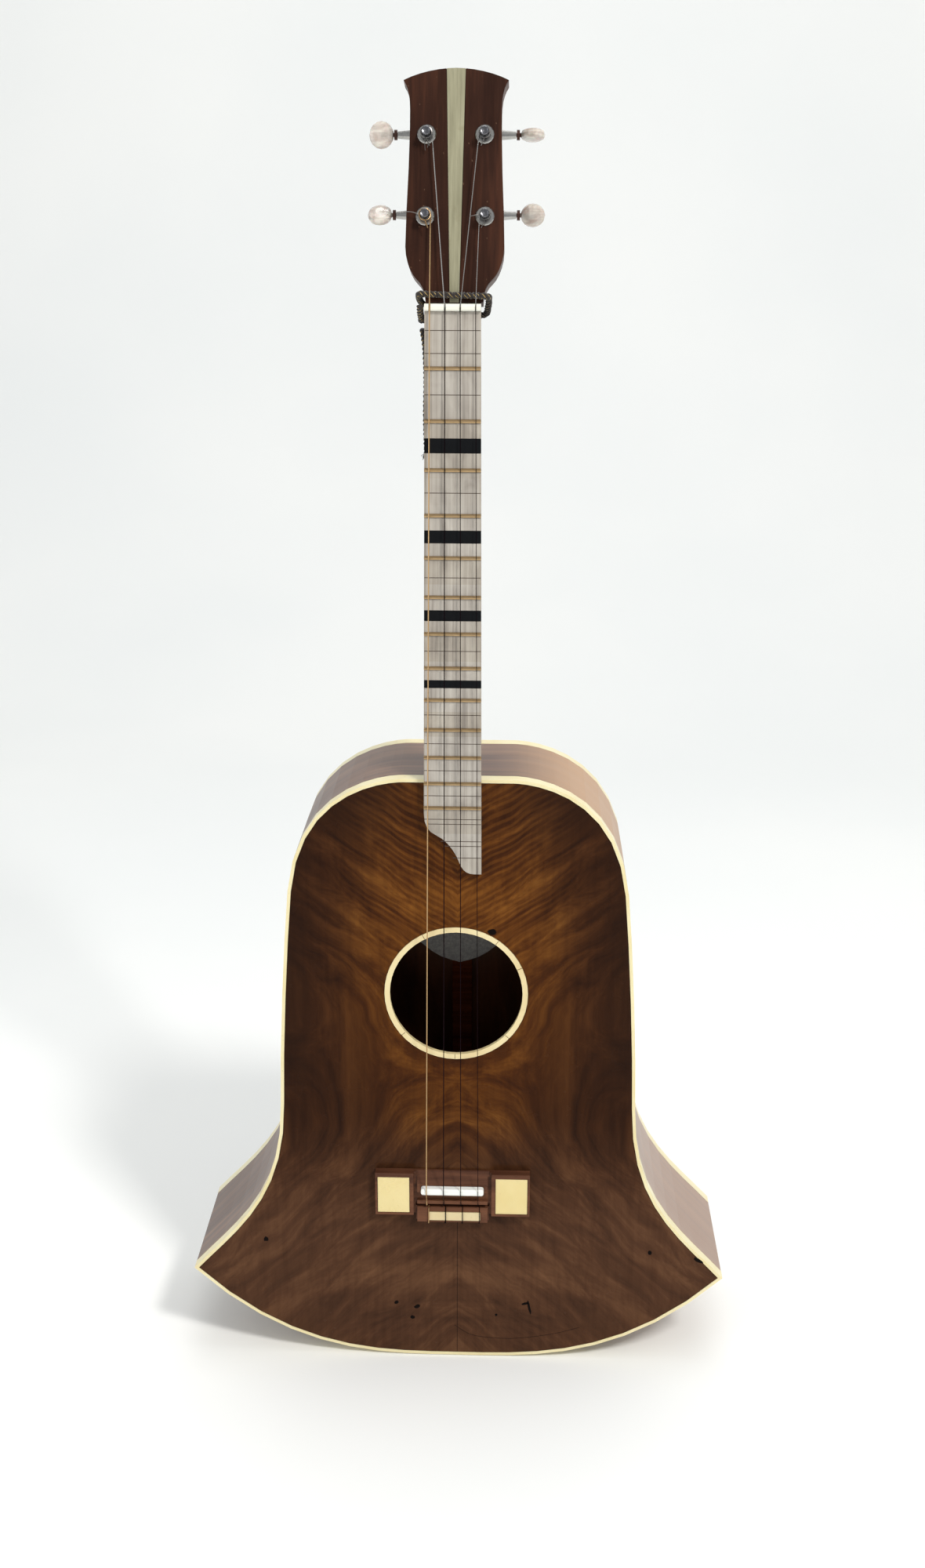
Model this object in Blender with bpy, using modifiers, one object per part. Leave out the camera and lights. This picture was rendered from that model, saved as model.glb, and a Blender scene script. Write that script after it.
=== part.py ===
"""Bell-shaped tenor guitar, built from separate sub-parts.

Metres, +Z up the neck, the face of the guitar towards -Y. X = 0 is the line of the neck,
Y = 0 the playing face of the fingerboard, and Z = 0 the lower edge of the nut.
"""

import math

import bmesh
import bpy
from mathutils import Matrix, Vector
from mathutils.geometry import interpolate_bezier

# Clearances
SEAT = 0.0003  # glue line between fixed pieces
RUN = 0.0003  # running clearance round a turning piece

# Scale and strings, numbered from the bass side
SCALE_LENGTH = 0.5842
COMPENSATION = 0.0015
STRING_RADII = (0.00040, 0.00034, 0.00028, 0.00022)
NUT_SPACING = 0.00905
SADDLE_SPACING = 0.0118
COIL_TURNS = 1.75
COIL_STEPS = 24  # in each turn
COIL_SPACE = 0.0005  # free space between neighbouring turns

# Neck and fingerboard
NUT_WIDTH = 0.0334
WIDENING = 0.0115  # growth of the neck's width along its length
BOARD_THICK = 0.0060
BOARD_END = 0.3537
OGEE_START = 0.3120
NECK_THICK_NUT = 0.0150
NECK_THICK_HEEL = 0.0175
HEEL_START = 0.0560  # above the body
HEEL_CAP = 0.0110
HEEL_SHORT = 0.0030  # how far the heel stops before the back
HEEL_TAPER = 0.42
NECK_STEPS = 12
TENON_HALF = 0.0090
TENON_DEEP = 0.0150
TENON_FRONT = 0.0200
TENON_BACK = 0.0640

# Nut
NUT_THICK = 0.0044
NUT_RISE = 0.0026  # above the fingerboard
NUT_SLOT_FLOOR = 0.0015

# Frets and position bands
FRET_COUNT = 13
FRET_CROWN_HALF = 0.0012
FRET_CROWN = 0.00125
TANG_HALF = 0.00025
TANG_DEEP = 0.0014
BAND_LENGTHS = {3: 0.0084, 5: 0.0074, 7: 0.0063, 9: 0.0046}
BAND_THICK = 0.0015

# Headstock, measured along and across its face
HEAD_ANGLE = math.radians(13.0)
HEAD_X = 0.0008
HEAD_FACE_Y = 0.0044
HEAD_WOOD = 0.0130
VENEER = 0.0020
HEAD_NECK_HALF = 0.0170
HEAD_WIDE_HALF = 0.0292
HEAD_WIDE_AT = 0.0320
HEAD_WAIST_HALF = 0.0269
HEAD_WAIST_AT = 0.1000
HEAD_EAR_HALF = 0.0308
HEAD_EAR_AT = 0.1274
HEAD_LENGTH = 0.1343
STRIPE_TOP_HALF = 0.0055
STRIPE_FOOT_HALF = 0.00275
STRIPE_THICK = 0.0009

# Body, measured from its centre line and from the top edge of the soundboard
BODY_X = 0.0032
BODY_TOP = 0.2912  # below the nut
BODY_LENGTH = 0.4325
SHOULDER_FLAT = 0.0360
SHOULDER_HALF = 0.1121
SHOULDER_AT = 0.0785
WAIST_HALF = 0.1210
WAIST_AT = 0.2338
CORNER_HALF = 0.1862
CORNER_AT = 0.3651
DEPTH_TOP = 0.0909
DEPTH_CORNER = 0.1094
TOP_THICK = 0.0030
BACK_THICK = 0.0030
RIB_THICK = 0.0030
BINDING_WIDE = 0.0022
BINDING_DEEP = 0.0090
LINING_WIDE = 0.0060
LINING_LIP = 0.0080
LINING_DEEP = 0.0140
BLOCK_HALF = 0.0330
BLOCK_THICK = 0.0240
TAIL_HALF = 0.0220
TAIL_THICK = 0.0200
CORNER_BLOCK = 0.0240

# Soundhole
HOLE_X = -0.0010  # from the body's centre line
HOLE_AT = 0.1504
RING_OUTER = 0.0480
RING_WIDE = 0.0036
RING_STEPS = 48

# Braces
BRACE_WIDE = 0.0080
BRACE_HIGH = 0.0110
BRACE_END = 0.0030
CROSS_AT = 0.2238
CROSS_RISE = 0.884  # slope of the two crossing braces
CROSS_UP_HALF = 0.1030
CROSS_DOWN_HALF = 0.1350
PLATE_HALF = 0.0660
PLATE_TOP = 0.2790
PLATE_FOOT = 0.3230
PLATE_THICK = 0.0025
UPPER_BRACE_AT = 0.0810
UPPER_BRACE_HALF = 0.0960
BACK_BRACES = ((0.0930, 0.0980), (0.2640, 0.1060), (0.3330, 0.1330))
STRIP_HALF = 0.0070
STRIP_TOP = 0.0300
STRIP_FOOT = 0.3980

# Bridge, measured from the saddle's line and the soundboard
BRIDGE_HALF = 0.0533
BRIDGE_TOP = 0.0120
BRIDGE_FOOT = 0.0203
BRIDGE_THICK = 0.0070
BLOCK_FOOT = 0.0254  # of the bridge's centre block
BRIDGE_BLOCK_HALF = 0.0253
FLUTE_IN = 0.0243
FLUTE_OUT = 0.0269
FLUTE_DEEP = 0.0032
RAMP_FOOT = 0.0020
RAMP_LONG = 0.0075
TROUGH_LOW = 0.0089
TROUGH_DEEP = 0.0030
SLOT_TOP = 0.0114
SLOT_LOW = 0.0145
SLOT_DEEP = 0.0052
CHAMFER_DEEP = 0.0013
INLAY_X = 0.0407
INLAY_Z = -0.0050
INLAY_WIDE = 0.0218
INLAY_HIGH = 0.0271
INLAY_THICK = 0.0016
INLAY_LOW = 0.0004  # below the face of the wing
SADDLE_HALF = 0.0216
SADDLE_THICK = 0.0048
SADDLE_RISE = 0.0120  # above the soundboard
SADDLE_SEAT = 0.0030  # floor of its slot above the soundboard
BAR_X = 0.0014
BAR_HALF = 0.0178
BAR_TOP = 0.0176
BAR_HIGH = 0.0062
BAR_THICK = 0.0018
BAR_SEAT = 0.0012
TIE_HOLE_RADIUS = 0.0010
TIE_HOLE_DEEP = 0.0038  # below the face of the block

# Tuners, measured from the headstock's face and the post's axis
POSTS = (
    (-1, 0.0496, 0.0176, 42.0),  # side, height on the head, distance from its middle, button turn
    (-1, 0.0964, 0.0170, 0.0),
    (1, 0.0964, 0.0170, 88.0),
    (1, 0.0496, 0.0176, 56.0),
)
POST_RADIUS = 0.0026
POST_WAIST = 0.0021
POST_HIGH = 0.0095
POST_WAIST_LOW = 0.0022
POST_WAIST_TOP = 0.0072
POST_HOLE_RADIUS = 0.0006
STUB_RADIUS = 0.0015
BARREL_RADIUS = 0.0042
WASHER_RADIUS = 0.0056
WASHER_THICK = 0.0013
WELL_RADIUS = 0.0038
SHAFT_DEEP = 0.0216
CASE_DEEP = 0.0120
CASE_HALF = 0.0070
CASE_WALL = 0.0016
LUG_HALF = 0.0036
LUG_REACH = 0.0056
LUG_THICK = 0.0022
LUG_HOLE = 0.0011
WHEEL_TEETH = 14
MODULE = 0.0005
WORM_PITCH_RADIUS = 0.0020
TOOTH_HALF = 0.00030  # at the pitch line
ADDENDUM = 0.00045
DEDENDUM = 0.00065
FLANK_SLOPE = 0.36
WHEEL_WIDE = 0.0030
WORM_TURNS = 3
WORM_STEPS = 10
SHAFT_RADIUS = 0.00125
SNOUT_RADIUS = 0.0034
SNOUT_TIP_RADIUS = 0.0021
SNOUT_END = 0.0184
COLLAR_RADIUS = 0.0030
COLLAR_THICK = 0.0018
BUTTON_LONG = 0.0148
BUTTON_WIDE = 0.0165
BUTTON_THICK = 0.0065
BUTTON_GRIP = 0.0080  # length of shaft inside the button

# Cord round the neck
CORD_RADIUS = 0.0021
CORD_Y = 0.0028  # of its centre in front of the head's foot
WRAP_STEPS = 3
TAIL_STEPS = 3

# Worked out from the sizes above
BOARD_FLOOR = BOARD_THICK - SEAT
HEAD_FOOT_Z = NUT_THICK + SEAT + (BOARD_THICK - HEAD_FACE_Y) * math.tan(HEAD_ANGLE)
SADDLE_Z = -(SCALE_LENGTH + COMPENSATION)
DEPTH_SLOPE = (DEPTH_CORNER - DEPTH_TOP) / CORNER_AT
BACK_TILT = math.atan(DEPTH_SLOPE)
RABBET = BINDING_WIDE + SEAT
RING_INNER = RING_OUTER - RING_WIDE
WHEEL_RADIUS = MODULE * WHEEL_TEETH / 2
WORM_OFFSET = WHEEL_RADIUS + WORM_PITCH_RADIUS
WORM_LEAD = math.pi * MODULE
HEAD_BACK = VENEER + SEAT + HEAD_WOOD
CASE_FRONT = HEAD_BACK + SEAT
COLLAR_START = SNOUT_END + RUN
BUTTON_START = COLLAR_START + COLLAR_THICK + SEAT


def clear_scene():
    for obj in list(bpy.data.objects):
        bpy.data.objects.remove(obj, do_unlink=True)


def collection(name):
    made = bpy.data.collections.new(name)
    bpy.context.scene.collection.children.link(made)
    return made


def material(name, colour, roughness, metallic=0.0):
    made = bpy.data.materials.new(name)
    made.use_nodes = True
    shader = made.node_tree.nodes["Principled BSDF"]
    shader.inputs["Base Color"].default_value = (*colour, 1.0)
    shader.inputs["Roughness"].default_value = roughness
    shader.inputs["Metallic"].default_value = metallic
    made.diffuse_color = (*colour, 1.0)
    return made


clear_scene()
PARTS = collection("tenor_guitar")
CUTTERS = collection("cutters")


def empty(name, location, rotation=(0, 0, 0), parent=None):
    made = bpy.data.objects.new(name, None)
    PARTS.objects.link(made)
    made.parent = parent
    made.location = location
    made.rotation_mode = "ZYX"
    made.rotation_euler = rotation
    return made


def finish(name, mesh, look, parent=None, location=(0, 0, 0), smooth=None):
    """An object of the guitar, made from a mesh in its own coordinates."""
    made = bpy.data.objects.new(name, mesh)
    PARTS.objects.link(made)
    made.parent = parent
    made.location = location
    if not mesh.materials:
        mesh.materials.append(look)
    if smooth is not None:
        mesh.shade_smooth()
        mesh.set_sharp_from_angle(angle=math.radians(smooth))
    return made


def helper(name, mesh, parent=None, location=(0, 0, 0)):
    """A body that only cuts or joins, kept out of the render."""
    made = bpy.data.objects.new(name, mesh)
    CUTTERS.objects.link(made)
    made.parent = parent
    made.location = location
    made.hide_render = True
    made.display_type = "WIRE"
    return made


def combine(target, other, operation):
    step = target.modifiers.new(other.name, "BOOLEAN")
    step.operation = operation
    step.object = other


def baked(obj):
    """The object's evaluated mesh, so that copies can share it."""
    bpy.context.view_layer.update()
    graph = bpy.context.evaluated_depsgraph_get()
    mesh = bpy.data.meshes.new_from_object(obj.evaluated_get(graph))
    shape = bmesh.new()
    shape.from_mesh(mesh)
    bmesh.ops.remove_doubles(shape, verts=shape.verts, dist=1e-6)
    bmesh.ops.dissolve_degenerate(shape, edges=shape.edges, dist=1e-6)
    shape.to_mesh(mesh)
    shape.free()
    return mesh


def mesh_from(name, shape):
    bmesh.ops.recalc_face_normals(shape, faces=shape.faces)
    mesh = bpy.data.meshes.new(name)
    shape.to_mesh(mesh)
    shape.free()
    return mesh


def curve_mesh(name, curve):
    """A curve's solid as a mesh, with its caps welded on."""
    guide = bpy.data.objects.new(name, curve)
    CUTTERS.objects.link(guide)
    mesh = baked(guide)
    bpy.data.objects.remove(guide)
    shape = bmesh.new()
    shape.from_mesh(mesh)
    bmesh.ops.remove_doubles(shape, verts=shape.verts, dist=1e-6)
    bpy.data.meshes.remove(mesh)
    return mesh_from(name, shape)


def outline_mesh(name, loops, thick):
    """Flat loops of (u, v) points filled and given a thickness about the plane."""
    curve = bpy.data.curves.new(name, "CURVE")
    curve.dimensions = "2D"
    curve.fill_mode = "BOTH"
    curve.extrude = thick / 2
    for loop in loops:
        spline = curve.splines.new("POLY")
        spline.points.add(len(loop) - 1)
        for point, (u, v) in zip(spline.points, loop):
            point.co = (u, v, 0, 1)
        spline.use_cyclic_u = True
    return curve_mesh(name, curve)


def plate(name, loops, front, back):
    """Loops of (x, z) points, from a front to a back that are depths or functions of z."""
    mesh = outline_mesh(name, loops, 0.01)
    mesh.transform(Matrix.Rotation(math.pi / 2, 4, "X"))
    for vertex in mesh.vertices:
        face = front if vertex.co.y < 0 else back
        vertex.co.y = face(vertex.co.z) if callable(face) else face
    return mesh


def prism(name, loop, low, high):
    """A side profile of (y, z) points, drawn out along X from low to high."""
    mesh = outline_mesh(name, [loop], high - low)
    turn = Matrix(((0, 0, 1, (low + high) / 2), (1, 0, 0, 0), (0, 1, 0, 0), (0, 0, 0, 1)))
    mesh.transform(turn)
    return mesh


def boxes(name, corners):
    """Boxes, each from its low corner to its high corner."""
    shape = bmesh.new()
    for low, high in corners:
        size = [b - a for a, b in zip(low, high)]
        middle = [(a + b) / 2 for a, b in zip(low, high)]
        place = Matrix.Translation(middle) @ Matrix.Diagonal((*size, 1))
        bmesh.ops.create_cube(shape, size=1, matrix=place)
    return mesh_from(name, shape)


def frustum(shape, low_radius, high_radius, start, end, sides):
    """A cone or cylinder between two points, added to a bmesh."""
    start, end = Vector(start), Vector(end)
    turn = Vector((0, 0, 1)).rotation_difference(end - start).to_matrix().to_4x4()
    bmesh.ops.create_cone(
        shape, cap_ends=True, segments=sides, radius1=low_radius, radius2=high_radius,
        depth=(end - start).length, matrix=Matrix.Translation((start + end) / 2) @ turn,
    )


def cylinders(name, rods, sides):
    """Rods, each (radius, start, end)."""
    shape = bmesh.new()
    for radius, start, end in rods:
        frustum(shape, radius, radius, start, end, sides)
    return mesh_from(name, shape)


def turned(name, profile, sides):
    """A profile of (radius, z) points, top to bottom, turned about Z."""
    mesh = bpy.data.meshes.new(name)
    points = [(radius, 0, z) for radius, z in profile]
    mesh.from_pydata(points, [(i, i + 1) for i in range(len(points) - 1)], [])
    guide = bpy.data.objects.new(name, mesh)
    CUTTERS.objects.link(guide)
    screw = guide.modifiers.new("turn", "SCREW")
    screw.steps = screw.render_steps = sides
    screw.use_merge_vertices = True
    screw.merge_threshold = 0.00001
    solid = baked(guide)
    bpy.data.objects.remove(guide)
    bpy.data.meshes.remove(mesh)
    return solid


def loft(name, sections, closed=False):
    """Skin over rings of points, with flat ends unless the run closes on itself."""
    shape = bmesh.new()
    rings = [[shape.verts.new(point) for point in section] for section in sections]
    runs = list(zip(rings, rings[1:]))
    if closed:
        runs.append((rings[-1], rings[0]))
    for ring, following in runs:
        for i in range(len(ring)):
            j = (i + 1) % len(ring)
            shape.faces.new((ring[i], ring[j], following[j], following[i]))
    if not closed:
        shape.faces.new(rings[0])
        shape.faces.new(rings[-1])
    return mesh_from(name, shape)


def tube_mesh(name, points, radius, resolution):
    curve = bpy.data.curves.new(name, "CURVE")
    curve.dimensions = "3D"
    curve.bevel_depth = radius
    curve.bevel_resolution = resolution
    curve.use_fill_caps = True
    spline = curve.splines.new("POLY")
    spline.points.add(len(points) - 1)
    for point, place in zip(spline.points, points):
        point.co = (*place, 1)
    return curve_mesh(name, curve)


def bezier(knots, counts):
    """Points along runs of (start, handle, handle, end), each without its last point."""
    points = []
    for (start, leave, arrive, end), count in zip(knots, counts):
        flat = [Vector((u, v, 0)) for u, v in (start, leave, arrive, end)]
        run = interpolate_bezier(*flat, count + 1)
        points += [(point.x, point.y) for point in run[:-1]]
    return points


def mirrored(half):
    """A closed loop from a half that runs from the centre line to the centre line."""
    other = [(-u, v) for u, v in reversed(half) if u > 1e-6]
    return half + other


def polar(radius, steps, centre=(0, 0)):
    turns = [2 * math.pi * i / steps for i in range(steps)]
    return [
        (centre[0] + radius * math.cos(turn), centre[1] + radius * math.sin(turn))
        for turn in turns
    ]


def rounded(low_u, high_u, low_v, high_v, radius, steps=3):
    """A rectangle with round corners."""
    centres = (
        (high_u - radius, high_v - radius), (low_u + radius, high_v - radius),
        (low_u + radius, low_v + radius), (high_u - radius, low_v + radius),
    )
    points = []
    for corner, (u, v) in enumerate(centres):
        for step in range(steps + 1):
            turn = math.pi / 2 * (corner + step / steps)
            points.append((u + radius * math.cos(turn), v + radius * math.sin(turn)))
    return points


# Body outline


def body_half():
    """Half of the body's outline, from the flat of the top to the middle of the bottom."""
    flat = (SHOULDER_FLAT, 0)
    shoulder = (SHOULDER_HALF, -SHOULDER_AT)
    waist = (WAIST_HALF, -WAIST_AT)
    corner = (CORNER_HALF, -CORNER_AT)
    foot = (0, -BODY_LENGTH)
    return bezier(
        (
            (flat, (0.0400, 0), (0.1044, -0.0014), shoulder),
            (shoulder, (0.1160, -0.1180), (0.1205, -0.1920), waist),
            (waist, (0.1219, -0.3077), (0.1561, -0.3315), corner),
            (corner, (0.1167, -0.4352), (0.0543, -BODY_LENGTH), foot),
        ),
        OUTLINE_STEPS,
    ) + [foot]


OUTLINE_STEPS = (10, 4, 9, 9)  # shoulder, waist, flare and bottom
CORNER_INDEX = sum(OUTLINE_STEPS[:3])


def unit(a, b):
    step = Vector((b[0] - a[0], b[1] - a[1]))
    return step.normalized()


def stations(loop):
    """Each point of a closed clockwise loop with the step that insets it by one unit."""
    made = []
    for i, point in enumerate(loop):
        before = unit(loop[i - 1], point)
        after = unit(point, loop[(i + 1) % len(loop)])
        inward = [Vector((step.y, -step.x)) for step in (before, after)]
        mitre = (inward[0] + inward[1]).normalized()
        made.append((Vector(point), mitre / mitre.dot(inward[0])))
    return made


BODY_HALF = body_half()
BODY_STATIONS = stations(mirrored(BODY_HALF))


def body_loop(inset):
    return [tuple(point + inset * mitre) for point, mitre in BODY_STATIONS]


def back_at(z):
    """Depth of the back's outer face below the soundboard, at a height on the body."""
    return DEPTH_TOP - DEPTH_SLOPE * z


# Body


def soundboard(line, look):
    hole = polar(RING_OUTER + SEAT, RING_STEPS, (HOLE_X, -HOLE_AT))
    made = finish(
        "soundboard", plate("soundboard", [body_loop(RABBET), hole], 0, TOP_THICK), look, line
    )
    brace = helper(
        "upper_brace",
        prism(
            "upper_brace",
            [
                (TOP_THICK / 2, -UPPER_BRACE_AT + BRACE_WIDE / 2),
                (TOP_THICK + BRACE_HIGH, -UPPER_BRACE_AT + BRACE_WIDE / 4),
                (TOP_THICK + BRACE_HIGH, -UPPER_BRACE_AT - BRACE_WIDE / 4),
                (TOP_THICK / 2, -UPPER_BRACE_AT - BRACE_WIDE / 2),
            ],
            -UPPER_BRACE_HALF,
            UPPER_BRACE_HALF,
        ),
        line,
    )
    combine(made, brace, "UNION")


def soundhole_ring(line, look):
    centre = (HOLE_X, -HOLE_AT)
    loops = [polar(RING_OUTER, RING_STEPS, centre), polar(RING_INNER, RING_STEPS, centre)]
    finish("soundhole_ring", plate("soundhole_ring", loops, 0, TOP_THICK), look, line, smooth=30)


def back_plate(line, look):
    mesh = plate(
        "back_plate", [body_loop(RABBET)], lambda z: back_at(z) - BACK_THICK, back_at
    )
    finish("back_plate", mesh, look, line)


def binding(name, line, look, front, back):
    loops = [body_loop(0), body_loop(BINDING_WIDE)]
    finish(name, plate(name, loops, front, back), look, line, smooth=30)


def rib_section(point, mitre, shift=Vector((0, 0))):
    """Outline of a rib with its two linings, square to the body's edge."""
    front = TOP_THICK + SEAT
    back = BACK_THICK + SEAT
    inner = RIB_THICK + LINING_WIDE
    profile = (
        (RABBET, front, False),
        (inner, front, False),
        (inner, front + LINING_LIP, False),
        (RIB_THICK, front + LINING_DEEP, False),
        (RIB_THICK, back + LINING_DEEP, True),
        (inner, back + LINING_LIP, True),
        (inner, back, True),
        (RABBET, back, True),
        (RABBET, BINDING_DEEP + SEAT, True),
        (0, BINDING_DEEP + SEAT, True),
        (0, BINDING_DEEP + SEAT, False),
        (RABBET, BINDING_DEEP + SEAT, False),
    )
    section = []
    for inset, depth, from_back in profile:
        place = point + inset * mitre + shift
        y = back_at(place.y) - depth if from_back else depth
        section.append((place.x, y, place.y))
    return section


def side_rib(name, line, look, side):
    """One side, from beside the neck's tenon to the flared corner."""
    start = Vector((TENON_HALF + SEAT - side * BODY_X, 0))
    sections = [rib_section(start, Vector((0, -1)))]
    for point, mitre in BODY_STATIONS[:CORNER_INDEX]:
        sections.append(rib_section(point, mitre))
    point, mitre = BODY_STATIONS[CORNER_INDEX]
    along = unit(BODY_HALF[CORNER_INDEX - 1], BODY_HALF[CORNER_INDEX])
    sections.append(rib_section(point, mitre, -SEAT * along))
    if side < 0:
        sections = [[(-x, y, z) for x, y, z in section] for section in sections]
    finish(name, loft(name, sections), look, line, smooth=30)


def corner_block_loop():
    """Plan of the glue block inside a flared corner."""
    corner = Vector(BODY_HALF[CORNER_INDEX])
    flare = unit(BODY_HALF[CORNER_INDEX], BODY_HALF[CORNER_INDEX - 1])
    foot = unit(BODY_HALF[CORNER_INDEX], BODY_HALF[CORNER_INDEX + 1])
    spread = abs(flare.x * foot.y - flare.y * foot.x)
    beside_flare = RIB_THICK + 3 * SEAT
    in_foot = RIB_THICK * 0.7

    def place(off_flare, off_foot):
        return tuple(corner + flare * off_foot / spread + foot * off_flare / spread)

    return [
        place(beside_flare, in_foot),
        place(CORNER_BLOCK, in_foot),
        place(beside_flare, CORNER_BLOCK),
    ]


def side_bottom(line, look):
    """Bottom rib between the flared corners, with the blocks glued to it."""
    last = len(BODY_STATIONS) - 1 - CORNER_INDEX
    sections = []
    for index in range(CORNER_INDEX, last + 1):
        point, mitre = BODY_STATIONS[index]
        shift = Vector((0, 0))
        if index == CORNER_INDEX:
            shift = SEAT * unit(point, BODY_STATIONS[index + 1][0])
        elif index == last:
            shift = SEAT * unit(point, BODY_STATIONS[index - 1][0])
        sections.append(rib_section(point, mitre, shift))
    made = finish("side_bottom", loft("side_bottom", sections), look, line, smooth=30)
    low = -BODY_LENGTH + (RABBET + RIB_THICK) / 2
    high = low + TAIL_THICK
    front = TOP_THICK + 3 * SEAT
    back = BACK_THICK + 3 * SEAT
    tail = prism(
        "tail_block",
        [(front, low), (back_at(low) - back, low), (back_at(high) - back, high), (front, high)],
        -TAIL_HALF,
        TAIL_HALF,
    )
    combine(made, helper("tail_block", tail, line), "UNION")
    loop = corner_block_loop()
    near = TOP_THICK + LINING_DEEP + 3 * SEAT
    for side, name in ((-1, "corner_block_bass"), (1, "corner_block_treble")):
        plan = [(side * x, z) for x, z in loop]
        mesh = plate(name, [plan], near, lambda z: back_at(z) - near)
        combine(made, helper(name, mesh, line), "UNION")


def neck_block(line, look):
    """Block under the top of the body, notched round the linings and mortised for the neck."""
    front = TOP_THICK + SEAT
    inner_front = front + LINING_DEEP + SEAT
    back = BACK_THICK + SEAT
    inner_back = back + LINING_DEEP + SEAT
    high = -(RIB_THICK + SEAT)
    shelf = -(RIB_THICK + LINING_WIDE + SEAT)
    low = -BLOCK_THICK
    loop = [
        (front, low),
        (front, shelf),
        (inner_front, shelf),
        (inner_front, high),
        (back_at(high) - inner_back, high),
        (back_at(shelf) - inner_back, shelf),
        (back_at(shelf) - back, shelf),
        (back_at(low) - back, low),
    ]
    made = finish(
        "neck_block", prism("neck_block", loop, -BLOCK_HALF, BLOCK_HALF), look, line
    )
    mortise = boxes(
        "mortise",
        [
            (
                (-TENON_HALF - SEAT - BODY_X, TENON_FRONT - SEAT, -TENON_DEEP - SEAT),
                (TENON_HALF + SEAT - BODY_X, TENON_BACK + SEAT, 0.001),
            )
        ],
    )
    combine(made, helper("mortise", mortise, line), "DIFFERENCE")


def brace_mesh(name, start, end, seat):
    """A bar with eased ends, standing on a plane at depth seat, between two (x, z) points."""
    run = Vector(end) - Vector(start)
    long = run.length
    ease = 0.03
    loop = [
        (0, 0), (long, 0), (long, BRACE_END), (long - ease, BRACE_HIGH), (ease, BRACE_HIGH),
        (0, BRACE_END),
    ]
    mesh = outline_mesh(name, [loop], BRACE_WIDE)
    along = run.normalized()
    across = Vector((-along.y, along.x))
    mesh.transform(
        Matrix((
            (along.x, 0, across.x, start[0]),
            (0, 1, 0, seat),
            (along.y, 0, across.y, start[1]),
            (0, 0, 0, 1),
        ))
    )
    shape = bmesh.new()
    shape.from_mesh(mesh)
    return mesh_from(name, shape)


def top_bracing(line, look):
    """Two crossing braces and the plate that backs the bridge."""
    seat = TOP_THICK + SEAT
    up = -CROSS_AT + CROSS_RISE * CROSS_UP_HALF
    down = -CROSS_AT - CROSS_RISE * CROSS_DOWN_HALF
    first = brace_mesh("top_bracing", (-CROSS_UP_HALF, up), (CROSS_DOWN_HALF, down), seat)
    made = finish("top_bracing", first, look, line)
    second = brace_mesh("cross_brace", (CROSS_UP_HALF, up), (-CROSS_DOWN_HALF, down), seat)
    combine(made, helper("cross_brace", second, line), "UNION")
    pad = boxes(
        "bridge_pad",
        [((-PLATE_HALF, seat, -PLATE_FOOT), (PLATE_HALF, seat + PLATE_THICK, -PLATE_TOP))],
    )
    combine(made, helper("bridge_pad", pad, line), "UNION")


def back_bracing(plane, look):
    """Three braces across the back, through the strip that backs its centre joint."""
    seat = -(BACK_THICK * math.cos(BACK_TILT) + SEAT)
    strip = boxes(
        "back_bracing",
        [((-STRIP_HALF, seat - PLATE_THICK, -STRIP_FOOT), (STRIP_HALF, seat, -STRIP_TOP))],
    )
    made = finish("back_bracing", strip, look, plane)
    for number, (at, half) in enumerate(BACK_BRACES, 1):
        name = f"back_brace_{number}"
        mesh = brace_mesh(name, (-half, -at), (half, -at), 0)
        mesh.transform(Matrix.Translation((0, seat, 0)) @ Matrix.Scale(-1, 4, (0, 1, 0)))
        mesh.flip_normals()
        combine(made, helper(name, mesh, plane), "UNION")


# Neck


def half_width(down):
    """Half of the neck's and the fingerboard's width, at a distance below the nut."""
    return (NUT_WIDTH + WIDENING * down) / 2


def neck_section(half, top, depth, power, taper=0.0):
    """(x, y) points from one top edge round the back to the other."""
    points = []
    for step in range(NECK_STEPS + 1):
        turn = math.pi * step / NECK_STEPS
        across = math.cos(turn)
        deep = abs(math.sin(turn)) ** (2 / power)
        x = half * math.copysign(abs(across) ** (2 / power), across) * (1 - taper * deep)
        points.append((x, top + depth * deep))
    return points


def neck_sections():
    """Rings of the neck, from the body up to the back of the headstock."""
    rings = []
    heel_deep = DEPTH_TOP - HEEL_SHORT
    root = BODY_TOP - SEAT
    cap = root - HEEL_CAP
    start = root - HEEL_START
    steps = 6
    for down, turn in [(root, 1.0)] + [
        (start + (cap - start) * math.sin(math.pi / 2 * i / steps), i / steps)
        for i in range(steps, -1, -1)
    ]:
        swell = 1 - math.cos(math.pi / 2 * turn)
        deep = NECK_THICK_HEEL + (heel_deep - NECK_THICK_HEEL) * swell
        ring = neck_section(half_width(down), BOARD_THICK, deep, 2.3, HEEL_TAPER * swell)
        rings.append([(x, y, -down) for x, y in ring])
    ring = neck_section(half_width(0), BOARD_THICK, NECK_THICK_NUT, 2.3)
    rings.append([(x, y, 0) for x, y in ring])
    rings.append([(x, y, NUT_THICK * 0.75) for x, y in ring])
    for along, inner, deep in ((0.0010, 0.0004, 0.0144), (0.0180, 0.0020, 0.0112)):
        ring = neck_section(HEAD_NECK_HALF - 0.001, VENEER + SEAT + inner, deep, 2.6)
        rings.append([HEAD_MATRIX @ Vector((x, y, along)) for x, y in ring])
    return rings


HEAD_MATRIX = Matrix.Translation((HEAD_X, HEAD_FACE_Y, HEAD_FOOT_Z)) @ Matrix.Rotation(
    -HEAD_ANGLE, 4, "X"
)


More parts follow.
